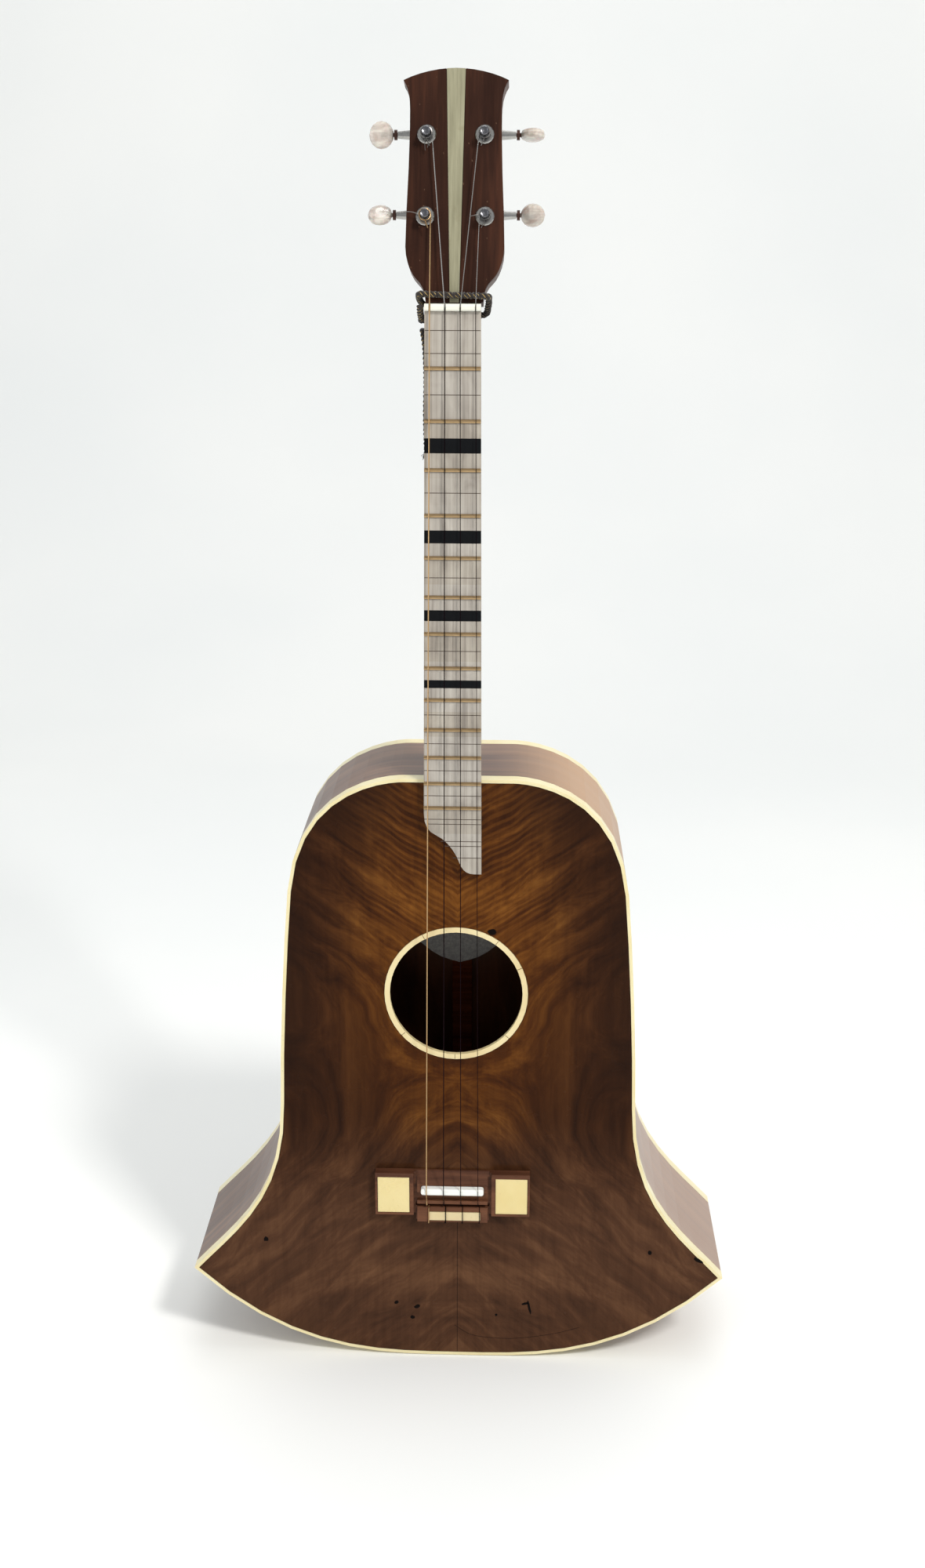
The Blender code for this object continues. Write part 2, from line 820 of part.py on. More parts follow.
def head_half():
    """Half of the headstock's outline in (x, height) on its face."""
    foot = (HEAD_NECK_HALF, 0.0)
    shoulder = (0.0226, 0.0134)
    wide = (HEAD_WIDE_HALF, HEAD_WIDE_AT)
    waist = (HEAD_WAIST_HALF, HEAD_WAIST_AT)
    throat = (HEAD_WAIST_HALF, HEAD_WAIST_AT + 0.011)
    ear = (HEAD_EAR_HALF, HEAD_EAR_AT)
    crown = (0.0, HEAD_LENGTH)
    return bezier(
        (
            (foot, (HEAD_NECK_HALF, 0.0060), (0.0194, 0.0106), shoulder),
            (shoulder, (0.0256, 0.0162), (HEAD_WIDE_HALF, 0.0240), wide),
            (wide, (HEAD_WIDE_HALF, 0.0500), (HEAD_WAIST_HALF, 0.0800), waist),
            (waist, (HEAD_WAIST_HALF, 0.1040), (HEAD_WAIST_HALF, 0.1080), throat),
            (throat, (HEAD_WAIST_HALF, 0.1190), (0.0284, 0.1240), ear),
            (ear, (0.0220, 0.1318), (0.0100, HEAD_LENGTH), crown),
        ),
        (4, 5, 3, 1, 5, 6),
    ) + [crown]


def post_places():
    """Each tuner's place on the face: side, x and height."""
    return [(side, side * off, high) for side, high, off, _ in POSTS]


def head_holes():
    """Bores for the tuner bushings, through the veneer and the wood."""
    rods = []
    for _, x, high in post_places():
        radius = BARREL_RADIUS + SEAT
        rods.append((radius, (x, -0.002, high), (x, HEAD_BACK + 0.002, high)))
    return cylinders("tuner_bores", rods, 14)


def neck(head, look):
    made = finish("neck", loft("neck", neck_sections()), look, smooth=40)
    wood = plate("head_wood", [mirrored(head_half())], VENEER + SEAT, HEAD_BACK)
    combine(made, helper("head_wood", wood, head), "UNION")
    tenon = boxes(
        "tenon",
        [
            (
                (-TENON_HALF, BOARD_THICK + TENON_FRONT, -BODY_TOP - TENON_DEEP),
                (TENON_HALF, BOARD_THICK + TENON_BACK, -BODY_TOP + HEEL_CAP / 2),
            )
        ],
    )
    combine(made, helper("tenon", tenon), "UNION")
    combine(made, helper("tuner_bores_wood", head_holes(), head), "DIFFERENCE")


def head_top(x):
    """Height of the headstock's crown above a place across its face."""
    half = head_half()
    for (x1, z1), (x0, z0) in zip(half[-7:], half[-6:]):
        if x0 <= abs(x) <= x1:
            return z0 + (z1 - z0) * (abs(x) - x0) / (x1 - x0)
    return HEAD_LENGTH


def stripe_loop(spare, over):
    """Plan of the tapered stripe, widened by spare and lengthened by over."""
    foot = STRIPE_FOOT_HALF + spare
    top = STRIPE_TOP_HALF + spare
    crown = [(x * top, head_top(x * top) + over) for x in (1, 0.5, 0, -0.5, -1)]
    return [(-foot, -over), (foot, -over)] + crown


def head_veneer(head, look):
    mesh = plate("head_veneer", [mirrored(head_half())], 0, VENEER)
    made = finish("head_veneer", mesh, look, head, smooth=30)
    channel = plate("stripe_channel", [stripe_loop(SEAT, 0.002)], -0.001, STRIPE_THICK + SEAT)
    combine(made, helper("stripe_channel", channel, head), "DIFFERENCE")
    combine(made, helper("tuner_bores_veneer", head_holes(), head), "DIFFERENCE")


def head_stripe(head, look):
    finish("head_stripe", plate("head_stripe", [stripe_loop(0, 0)], 0, STRIPE_THICK), look, head)


# Fingerboard


def fret_at(number):
    """Distance of a fret below the nut."""
    return SCALE_LENGTH * (1 - 2 ** (-number / 12))


def band_span(number):
    middle = (fret_at(number) + fret_at(number - 1)) / 2
    return middle - BAND_LENGTHS[number] / 2, middle + BAND_LENGTHS[number] / 2


def board_loop():
    """Plan of the fingerboard, with the ogee end below the last fret."""
    end_half = half_width(BOARD_END)
    bass = -half_width(OGEE_START)
    curve = bezier(
        (
            ((bass, -OGEE_START), (bass, -0.3205), (-0.0158, -0.3248), (-0.0105, -0.3272)),
            ((-0.0105, -0.3272), (-0.0040, -0.3301), (0.0019, -0.3385), (0.0043, -0.3455)),
            ((0.0043, -0.3455), (0.0062, -0.3511), (0.0090, -BOARD_END), (0.0140, -BOARD_END)),
        ),
        (4, 5, 5),
    )
    return (
        [(end_half, -BOARD_END), (half_width(0), 0), (-half_width(0), 0)]
        + curve
        + [(0.0140, -BOARD_END)]
    )


def fingerboard(look):
    made = finish(
        "fingerboard", plate("fingerboard", [board_loop()], 0, BOARD_FLOOR), look, smooth=30
    )
    reach = half_width(BOARD_END) + 0.002
    cuts = []
    for number in range(1, FRET_COUNT + 1):
        z = -fret_at(number)
        side = TANG_HALF + SEAT
        cuts.append(((-reach, -0.001, z - side), (reach, TANG_DEEP + SEAT, z + side)))
    for number in BAND_LENGTHS:
        high, low = band_span(number)
        cuts.append(((-reach, -0.001, -low - SEAT), (reach, BAND_THICK + SEAT, -high + SEAT)))
    combine(made, helper("board_slots", boxes("board_slots", cuts)), "DIFFERENCE")


def position_band(number, look):
    high, low = band_span(number)
    loop = [
        (half_width(high), -high), (-half_width(high), -high),
        (-half_width(low), -low), (half_width(low), -low),
    ]
    finish(f"position_band_{number}", plate("position_band", [loop], 0, BAND_THICK), look)


def fret(number, look):
    crown = (
        (-FRET_CROWN_HALF, -SEAT),
        (-FRET_CROWN_HALF * 0.7, -FRET_CROWN * 0.8),
        (0, -FRET_CROWN),
        (FRET_CROWN_HALF * 0.7, -FRET_CROWN * 0.8),
        (FRET_CROWN_HALF, -SEAT),
        (TANG_HALF, -SEAT),
        (TANG_HALF, TANG_DEEP),
        (-TANG_HALF, TANG_DEEP),
        (-TANG_HALF, -SEAT),
    )
    half = half_width(fret_at(number))
    mesh = prism("fret", [(y, z) for z, y in crown], -half, half)
    name = f"fret_{number:02d}"
    finish(name, mesh, look, location=(0, 0, -fret_at(number)), smooth=40)


def string_x(number, spacing):
    return (number - 2.5) * spacing


def nut(look):
    half = half_width(0)
    rise = NUT_RISE
    loop = [
        (BOARD_FLOOR, SEAT),
        (-rise * 0.75, SEAT),
        (-rise, NUT_THICK * 0.25),
        (-rise * 0.9, NUT_THICK * 0.7),
        (-rise * 0.55, NUT_THICK),
        (BOARD_FLOOR, NUT_THICK),
    ]
    made = finish("nut", prism("nut", loop, -half, half), look)
    rods = []
    for number, radius in enumerate(STRING_RADII, 1):
        slot = radius + SEAT
        y = -NUT_SLOT_FLOOR - slot
        x = string_x(number, NUT_SPACING)
        rods.append((slot, (x, y, -0.001), (x, y + 0.0006, NUT_THICK + 0.001)))
        rods.append((slot, (x, y - slot, -0.001), (x, y - slot + 0.0006, NUT_THICK + 0.001)))
    for index, rod in enumerate(rods):
        cutter = helper(f"nut_slot_{index}", cylinders("nut_slot", [rod], 8))
        combine(made, cutter, "DIFFERENCE")


# Bridge


def saddle_loop(spare):
    half = SADDLE_HALF + spare
    thick = SADDLE_THICK / 2 + spare
    return rounded(-half, half, -thick, thick, thick * 0.7)


def bridge(seat, look):
    face = -BRIDGE_THICK
    wings = boxes(
        "bridge", [((-BRIDGE_HALF, face, -BRIDGE_FOOT), (BRIDGE_HALF, -SEAT, BRIDGE_TOP))]
    )
    made = finish("bridge", wings, look, seat)
    block = boxes(
        "bridge_block", [((-BRIDGE_BLOCK_HALF, face, -BLOCK_FOOT), (BRIDGE_BLOCK_HALF, -SEAT, 0))]
    )
    combine(made, helper("bridge_block", block, seat), "UNION")
    over = face - 0.001
    reach = (FLUTE_IN + FLUTE_OUT) / 2
    ramp = prism(
        "bridge_ramp",
        [
            (over, BRIDGE_TOP + 0.001),
            (over, BRIDGE_TOP - RAMP_LONG - 0.001 * RAMP_LONG / (BRIDGE_THICK - RAMP_FOOT)),
            (face, BRIDGE_TOP - RAMP_LONG),
            (-RAMP_FOOT, BRIDGE_TOP),
            (-RAMP_FOOT, BRIDGE_TOP + 0.001),
        ],
        -reach,
        reach,
    )
    combine(made, helper("bridge_ramp", ramp, seat), "DIFFERENCE")
    trough = [
        ((-reach, over, -TROUGH_LOW), (reach, face + TROUGH_DEEP, -SADDLE_THICK / 2)),
        ((-reach, over, -SLOT_LOW), (reach, face + SLOT_DEEP, -SLOT_TOP)),
    ]
    combine(made, helper("bridge_troughs", boxes("bridge_troughs", trough), seat), "DIFFERENCE")
    chamfer = prism(
        "tie_chamfer",
        [(over, -SLOT_LOW + 0.001), (over, -BAR_TOP + 2 * SEAT), (face, -BAR_TOP + 2 * SEAT),
         (face + CHAMFER_DEEP, -SLOT_LOW), (face + CHAMFER_DEEP, -SLOT_LOW + 0.001)],
        -reach,
        reach,
    )
    combine(made, helper("tie_chamfer", chamfer, seat), "DIFFERENCE")
    flutes = [
        (
            (min(side * FLUTE_IN, side * FLUTE_OUT), over, -BLOCK_FOOT - 0.001),
            (max(side * FLUTE_IN, side * FLUTE_OUT), face + FLUTE_DEEP, BRIDGE_TOP + 0.001),
        )
        for side in (-1, 1)
    ]
    combine(made, helper("bridge_flutes", boxes("bridge_flutes", flutes), seat), "DIFFERENCE")
    slot = plate("saddle_slot", [saddle_loop(SEAT)], over, -SADDLE_SEAT)
    combine(made, helper("saddle_slot", slot, seat), "DIFFERENCE")
    pockets = []
    for side in (-1, 1):
        wide = INLAY_WIDE / 2 + SEAT
        high = INLAY_HIGH / 2 + SEAT
        floor = face + INLAY_LOW + INLAY_THICK + SEAT
        pockets.append((
            (side * INLAY_X - wide, over, INLAY_Z - high),
            (side * INLAY_X + wide, floor, INLAY_Z + high),
        ))
    pockets.append((
        (BAR_X - BAR_HALF - SEAT, over, -BAR_TOP - BAR_HIGH - SEAT),
        (BAR_X + BAR_HALF + SEAT, face + BAR_SEAT + SEAT, -BAR_TOP + SEAT),
    ))
    combine(made, helper("inlay_pockets", boxes("inlay_pockets", pockets), seat), "DIFFERENCE")
    rods = []
    for number in range(1, 5):
        x = string_x(number, SADDLE_SPACING)
        y = face + TIE_HOLE_DEEP
        rods.append((TIE_HOLE_RADIUS, (x, y, -SLOT_LOW + 0.001), (x, y, -BLOCK_FOOT - 0.001)))
    combine(made, helper("tie_holes", cylinders("tie_holes", rods, 8), seat), "DIFFERENCE")


def bridge_inlay(name, side, seat, look):
    """Square inlay with a low pyramid face."""
    wide, high = INLAY_WIDE / 2, INLAY_HIGH / 2
    face = -BRIDGE_THICK + INLAY_LOW
    corners = ((-wide, -high), (wide, -high), (wide, high), (-wide, high))
    low = [(x, face + INLAY_THICK, z) for x, z in corners]
    edge = [(x, face, z) for x, _, z in low]
    centre = [(x * 0.04, face - INLAY_LOW * 0.75, z * 0.04) for x, _, z in low]
    mesh = loft(name, [low, edge, centre])
    finish(name, mesh, look, seat, (side * INLAY_X, 0, INLAY_Z))


def saddle(seat, look):
    low = saddle_loop(0)
    base = [(x, -SADDLE_SEAT - SEAT, z) for x, z in low]
    high = -SADDLE_RISE
    edge = [(x, high + 0.0012, z) for x, z in low]
    crown = [(x * 0.985, high + 0.0002, z * 0.55) for x, z in low]
    finish("saddle", loft("saddle", [base, edge, crown]), look, seat, smooth=40)


def tie_bar(seat, look):
    floor = -BRIDGE_THICK + BAR_SEAT
    loop = rounded(-BAR_HALF, BAR_HALF, -BAR_TOP - BAR_HIGH, -BAR_TOP, 0.0006, 2)
    mesh = plate("tie_bar", [loop], floor - BAR_THICK, floor)
    finish("tie_bar", mesh, look, seat, (BAR_X, 0, 0))


# Tuners


def gear_ring(z):
    """The worm wheel's outline at a height, turned to follow the worm's lead."""
    twist = z * (WORM_LEAD / (2 * math.pi)) / WORM_PITCH_RADIUS / WHEEL_RADIUS
    points = []
    for tooth in range(WHEEL_TEETH):
        middle = math.pi / 2 + 2 * math.pi * (tooth + 0.5) / WHEEL_TEETH + twist
        for radius, side in (
            (WHEEL_RADIUS - DEDENDUM, -1), (WHEEL_RADIUS + ADDENDUM, -1),
            (WHEEL_RADIUS + ADDENDUM, 1), (WHEEL_RADIUS - DEDENDUM, 1),
        ):
            half = TOOTH_HALF + FLANK_SLOPE * (WHEEL_RADIUS - radius)
            turn = middle + side * half / radius
            points.append((radius * math.cos(turn), radius * math.sin(turn), z - SHAFT_DEEP))
    return points


def post_mesh():
    """Slotless post with a waist for the string, and its worm wheel."""
    waist = POST_WAIST
    profile = [
        (0, POST_HIGH - 0.0004),
        (POST_RADIUS * 0.62, POST_HIGH - 0.0002),
        (POST_RADIUS * 0.85, POST_HIGH),
        (POST_RADIUS, POST_HIGH - 0.0003),
        (POST_RADIUS, POST_WAIST_TOP + 0.0006),
        (waist, POST_WAIST_TOP),
        (waist, POST_WAIST_LOW),
        (POST_RADIUS, POST_WAIST_LOW - 0.0006),
        (POST_RADIUS, -SHAFT_DEEP + WHEEL_WIDE / 2 - 0.0003),
        (STUB_RADIUS, -SHAFT_DEEP - WHEEL_WIDE / 2 + 0.0003),
        (STUB_RADIUS, -CASE_FRONT - CASE_DEEP + CASE_WALL),
        (0, -CASE_FRONT - CASE_DEEP + CASE_WALL),
    ]
    post = helper("post_blank", turned("post_blank", profile, 12))
    rings = [gear_ring(-WHEEL_WIDE / 2), gear_ring(WHEEL_WIDE / 2)]
    combine(post, helper("wheel_blank", loft("wheel_blank", rings)), "UNION")
    middle = (POST_WAIST_LOW + POST_WAIST_TOP) / 2
    reach = 2 * POST_RADIUS
    bore = cylinders("string_bore", [(POST_HOLE_RADIUS, (0, -reach, middle), (0, reach, middle))], 6)
    combine(post, helper("string_bore", bore), "DIFFERENCE")
    return baked(post)


def thread_mesh():
    """The worm's thread, one trapezoid swept along a right-handed helix."""
    sections = []
    inner = WORM_PITCH_RADIUS - DEDENDUM - 0.0002
    outer = WORM_PITCH_RADIUS + ADDENDUM
    total = WORM_TURNS * WORM_STEPS
    for step in range(total + 1):
        turn = 2 * math.pi * (step - total / 2) / WORM_STEPS
        middle = WORM_LEAD * turn / (2 * math.pi)
        section = []
        for radius, side in ((inner, -1), (outer, -1), (outer, 1), (inner, 1)):
            half = TOOTH_HALF + FLANK_SLOPE * (WORM_PITCH_RADIUS - radius)
            x = middle + side * half
            section.append((x, -radius * math.cos(turn), -radius * math.sin(turn)))
        sections.append(section)
    return loft("worm_thread", sections)


def worm_mesh():
    """Worm, shaft and end collar, about the shaft's own axis."""
    core = WORM_PITCH_RADIUS - DEDENDUM
    half = WORM_TURNS * WORM_LEAD / 2 + 0.0006
    shaft_end = BUTTON_START + BUTTON_GRIP
    inner_end = -(CASE_HALF - CASE_WALL)
    profile = [
        (0, shaft_end),
        (SHAFT_RADIUS, shaft_end),
        (SHAFT_RADIUS, COLLAR_START + COLLAR_THICK),
        (COLLAR_RADIUS, COLLAR_START + COLLAR_THICK),
        (COLLAR_RADIUS, COLLAR_START),
        (SHAFT_RADIUS, COLLAR_START),
        (SHAFT_RADIUS, half + 0.0002),
        (core, half),
        (core, -half),
        (SHAFT_RADIUS, -half - 0.0002),
        (SHAFT_RADIUS, inner_end),
        (0, inner_end),
    ]
    mesh = turned("worm_blank", profile, 10)
    mesh.transform(Matrix.Rotation(math.pi / 2, 4, "Y"))
    blank = helper("worm_blank", mesh)
    combine(blank, helper("worm_thread", thread_mesh()), "UNION")
    return baked(blank)


def case_spans(hand):
    """Low and high edges of the housing along the headstock."""
    near = -(WHEEL_RADIUS + ADDENDUM + RUN + CASE_WALL)
    far = WORM_OFFSET + WORM_PITCH_RADIUS + ADDENDUM + RUN + CASE_WALL
    return (near, far) if hand > 0 else (-far, -near)


def housing_mesh(hand):
    """Closed housing with its snout, lug and the bushing that passes through the head."""
    low, high = case_spans(hand)
    case = outline_mesh("case", [rounded(-CASE_HALF, CASE_HALF, low, high, 0.0022)], CASE_DEEP)
    case.transform(Matrix.Translation((0, 0, -CASE_FRONT - CASE_DEEP / 2)))
    made = helper(f"case_{hand}", case)
    lug_near = (low if hand > 0 else high) + hand * 0.001
    lug_far = (low if hand > 0 else high) - hand * LUG_REACH
    lug = outline_mesh(
        "lug",
        [rounded(-LUG_HALF, LUG_HALF, min(lug_near, lug_far), max(lug_near, lug_far), 0.0009)],
        LUG_THICK,
    )
    lug.transform(Matrix.Translation((0, 0, -CASE_FRONT - LUG_THICK / 2)))
    combine(made, helper(f"lug_{hand}", lug), "UNION")
    bushing = turned(
        "bushing",
        [
            (0, SEAT + WASHER_THICK),
            (WASHER_RADIUS * 0.9, SEAT + WASHER_THICK),
            (WASHER_RADIUS, SEAT + WASHER_THICK * 0.5),
            (WASHER_RADIUS, SEAT),
            (BARREL_RADIUS, SEAT),
            (BARREL_RADIUS, -CASE_FRONT - 0.001),
            (0, -CASE_FRONT - 0.001),
        ],
        16,
    )
    combine(made, helper(f"bushing_{hand}", bushing), "UNION")
    y = hand * WORM_OFFSET
    shape = bmesh.new()
    start = (CASE_HALF - 0.001, y, -SHAFT_DEEP)
    tip = (SNOUT_END, y, -SHAFT_DEEP)
    frustum(shape, SNOUT_RADIUS, SNOUT_TIP_RADIUS, start, tip, 12)
    combine(made, helper(f"snout_{hand}", mesh_from("snout", shape)), "UNION")
    wheel_room = WHEEL_WIDE / 2 + RUN
    pocket = WHEEL_RADIUS + ADDENDUM + RUN
    worm_room = WORM_PITCH_RADIUS + ADDENDUM + RUN
    worm_half = WORM_TURNS * WORM_LEAD / 2 + 0.0006 + 2 * RUN
    bores = (
        (pocket, (0, 0, -SHAFT_DEEP - wheel_room), (0, 0, -SHAFT_DEEP + wheel_room)),
        (worm_room, (-worm_half, y, -SHAFT_DEEP), (worm_half, y, -SHAFT_DEEP)),
        (
            SHAFT_RADIUS + RUN,
            (-(CASE_HALF - CASE_WALL) - RUN, y, -SHAFT_DEEP),
            (SNOUT_END + 0.001, y, -SHAFT_DEEP),
        ),
        (POST_RADIUS + RUN, (0, 0, -SHAFT_DEEP), (0, 0, 0.004)),
        (
            STUB_RADIUS + RUN,
            (0, 0, -CASE_FRONT - CASE_DEEP + CASE_WALL - RUN),
            (0, 0, -SHAFT_DEEP),
        ),
        (WELL_RADIUS, (0, 0, 0.0006), (0, 0, 0.004)),
        (
            LUG_HOLE,
            (0, (lug_near + lug_far) / 2 - hand * 0.0008, -CASE_FRONT - 0.004),
            (0, (lug_near + lug_far) / 2 - hand * 0.0008, -CASE_FRONT + 0.001),
        ),
    )
    for index, bore in enumerate(bores):
        cutter = helper(f"case_bore_{hand}_{index}", cylinders("case_bore", [bore], 10))
        combine(made, cutter, "DIFFERENCE")
    return baked(made)


def button_mesh():
    """Flattened round button with a blind bore for the shaft."""
    shape = bmesh.new()
    bmesh.ops.create_uvsphere(shape, u_segments=16, v_segments=8, radius=1)
    for vertex in shape.verts:
        x, y, z = vertex.co
        z = math.copysign(abs(z) ** 0.62, z)
        vertex.co = (
            x * BUTTON_LONG / 2 + BUTTON_START + BUTTON_LONG / 2,
            y * BUTTON_WIDE / 2,
            z * BUTTON_THICK / 2,
        )
    made = helper("button_blank", mesh_from("button_blank", shape))
    end = BUTTON_START + BUTTON_GRIP + SEAT
    bore = cylinders("button_bore", [(SHAFT_RADIUS + SEAT, (0.01, 0, 0), (end, 0, 0))], 12)
    combine(made, helper("button_bore", bore), "DIFFERENCE")
    return baked(made)


def tuner(number, seat, hand, turn, meshes, looks):
    finish(f"tuner_{number}_housing", meshes["housing"][hand], looks["chrome"], seat, smooth=35)
    finish(f"tuner_{number}_post", meshes["post"], looks["post"], seat, smooth=35)
    place = (0, hand * WORM_OFFSET, -SHAFT_DEEP)
    worm = finish(f"tuner_{number}_worm", meshes["worm"], looks["worm"], seat, place, smooth=35)
    if hand < 0:
        worm.rotation_euler = (math.pi, 0, 0)
    button = finish(
        f"tuner_{number}_button", meshes["button"], looks["pearl"], seat, place, smooth=60
    )
    button.rotation_euler = (math.radians(turn), 0, 0)


# Strings


def coil_points(number):
    """Turns of a string on its post, from the post's bore down to where it leaves."""
    side, x, high = post_places()[number - 1]
    radius = STRING_RADII[number - 1]
    ring = POST_RADIUS + SEAT + radius
    pitch = 2 * radius + COIL_SPACE
    middle = (POST_WAIST_LOW + POST_WAIST_TOP) / 2
    total = int(COIL_TURNS * COIL_STEPS)
    points = []
    for step in range(total + 1):
        share = step / total
        turn = math.pi if side > 0 else 0.0
        turn -= side * (1 - share) * COIL_TURNS * 2 * math.pi
        rise = middle + pitch * COIL_TURNS * (0.5 - share)
        points.append(Vector((x + ring * math.cos(turn), -rise, high + ring * math.sin(turn))))
    first = points[0] - Vector((x, points[0].y, high))
    tail = points[0] + first.normalized() * 0.0045 + (points[0] - points[1]).normalized() * 0.002
    return [HEAD_MATRIX @ point for point in [tail] + points]


def tie_points(number):
    """A string's run past the saddle, through the tie block and back over the bar."""
    radius = STRING_RADII[number - 1]
    free = radius + SEAT
    x = string_x(number, SADDLE_SPACING)
    aside = 2 * radius + 0.0006
    face = -BRIDGE_THICK
    deep = face + TIE_HOLE_DEEP
    over = face + BAR_SEAT - BAR_THICK - free
    run = (
        (0, face - free - 0.0002, -TROUGH_LOW),
        (0, face - 1.05 * free, -SLOT_TOP + 0.0002),
        (0, face - 0.8 * free, -SLOT_TOP - 0.8 * free),
        (0, face + 0.0008, -SLOT_TOP - free - 0.0001),
        (0, deep - 0.0006, -SLOT_TOP - free - 0.0002),
        (0, deep, -SLOT_LOW + 0.0006),
        (0, deep, -BLOCK_FOOT - free + 0.0003),
        (0.3, deep - 0.0014, -BLOCK_FOOT - free - 0.0002),
        (0.6, face - 0.0002, -BLOCK_FOOT - free - 0.0002),
        (0.9, over + 0.0002, -BLOCK_FOOT - 0.0002),
        (1, over, -BAR_TOP - BAR_HIGH),
        (1, over, -BAR_TOP + 0.0002),
        (1, face - free + 0.0007, -SLOT_LOW - 0.0003),
        (1, face + 0.0016, -SLOT_LOW + free + 0.0002),
    )
    return [(x + share * aside, BOARD_THICK + y, SADDLE_Z + z) for share, y, z in run]


def string(number, look):
    radius = STRING_RADII[number - 1]
    nut_y = -NUT_SLOT_FLOOR - SEAT - radius
    nut_x = string_x(number, NUT_SPACING)
    saddle_x = string_x(number, SADDLE_SPACING)
    crown = BOARD_THICK - SADDLE_RISE - SEAT - radius
    points = coil_points(number) + [
        (nut_x, nut_y, NUT_THICK * 0.5),
        (nut_x, nut_y, 0.0002),
        (saddle_x, crown, SADDLE_Z + 0.0010),
        (saddle_x, crown, SADDLE_Z - 0.0012),
    ]
    points += tie_points(number)
    finish(f"string_{number}", tube_mesh(f"string_{number}", points, radius, 1), look, smooth=60)


# Cord


def smooth_route(route, steps):
    """A smooth curve through the route's points, with the same number of steps in each leg."""
    points = []
    knots = [Vector(place) for place in route]
    slopes = [(b - a) / 2 for a, b in zip(knots, knots[2:])]
    slopes = [knots[1] - knots[0]] + slopes + [knots[-1] - knots[-2]]
    for i in range(len(knots) - 1):
        run = interpolate_bezier(
            knots[i], knots[i] + slopes[i] / 3, knots[i + 1] - slopes[i + 1] / 3, knots[i + 1],
            steps + 1,
        )
        points += run[:-1]
    return points + [knots[-1]]


def wrap_points():
    """The cord's turn round the neck: over the head's foot, behind the neck and forward again."""
    beside = HEAD_NECK_HALF + CORD_RADIUS + 0.0007
    bass, treble = HEAD_X - beside, HEAD_X + beside
    behind = BOARD_THICK + NECK_THICK_NUT + CORD_RADIUS + 0.0008
    front = CORD_Y
    return smooth_route(
        (
            (-0.0186, 0.0205, 0.0030),
            (bass - 0.0010, 0.0125, 0.0060),
            (bass - 0.0010, front + 0.0014, 0.0092),
            (-0.0178, front + 0.0002, 0.0098),
            (0, front, 0.0092),
            (0.0190, front, 0.0086),
            (treble + 0.0004, front + 0.0036, 0.0066),
            (treble, 0.0130, 0.0020),
            (0.0178, 0.0220, -0.0030),
            (0, behind + 0.0006, -0.0050),
            (-0.0178, 0.0220, -0.0062),
            (bass, 0.0140, -0.0050),
            (bass - 0.0004, 0.0065, -0.0012),
            (bass - 0.0004, front - 0.0010, 0.0026),
        ),
        WRAP_STEPS,
    )


def tail_points():
    """The cord's free end, hanging behind the bass edge of the neck."""
    return smooth_route(
        (
            (-0.0186, 0.0150, -0.0110),
            (-0.0172, 0.0180, -0.0220),
            (-0.0166, 0.0190, -0.0400),
            (-0.0170, 0.0192, -0.0620),
            (-0.0166, 0.0196, -0.0850),
        ),
        TAIL_STEPS,
    )


def strap_cord(name, points, look):
    finish(name, tube_mesh(name, points, CORD_RADIUS, 2), look, smooth=60)


def nearest_gap(points, radius, skip):
    """Least free space between parts of one tube that lie more than skip points apart."""
    best = 1.0
    for i, point in enumerate(points):
        for other in range(i + skip, len(points) - 1):
            a, b = Vector(points[other]), Vector(points[other + 1])
            run = b - a
            share = max(0.0, min(1.0, (Vector(point) - a).dot(run) / run.length_squared))
            best = min(best, (Vector(point) - (a + share * run)).length)
    return best - 2 * radius


# Looks


def wood(name, colour, roughness=0.45):
    return material(name, colour, roughness)


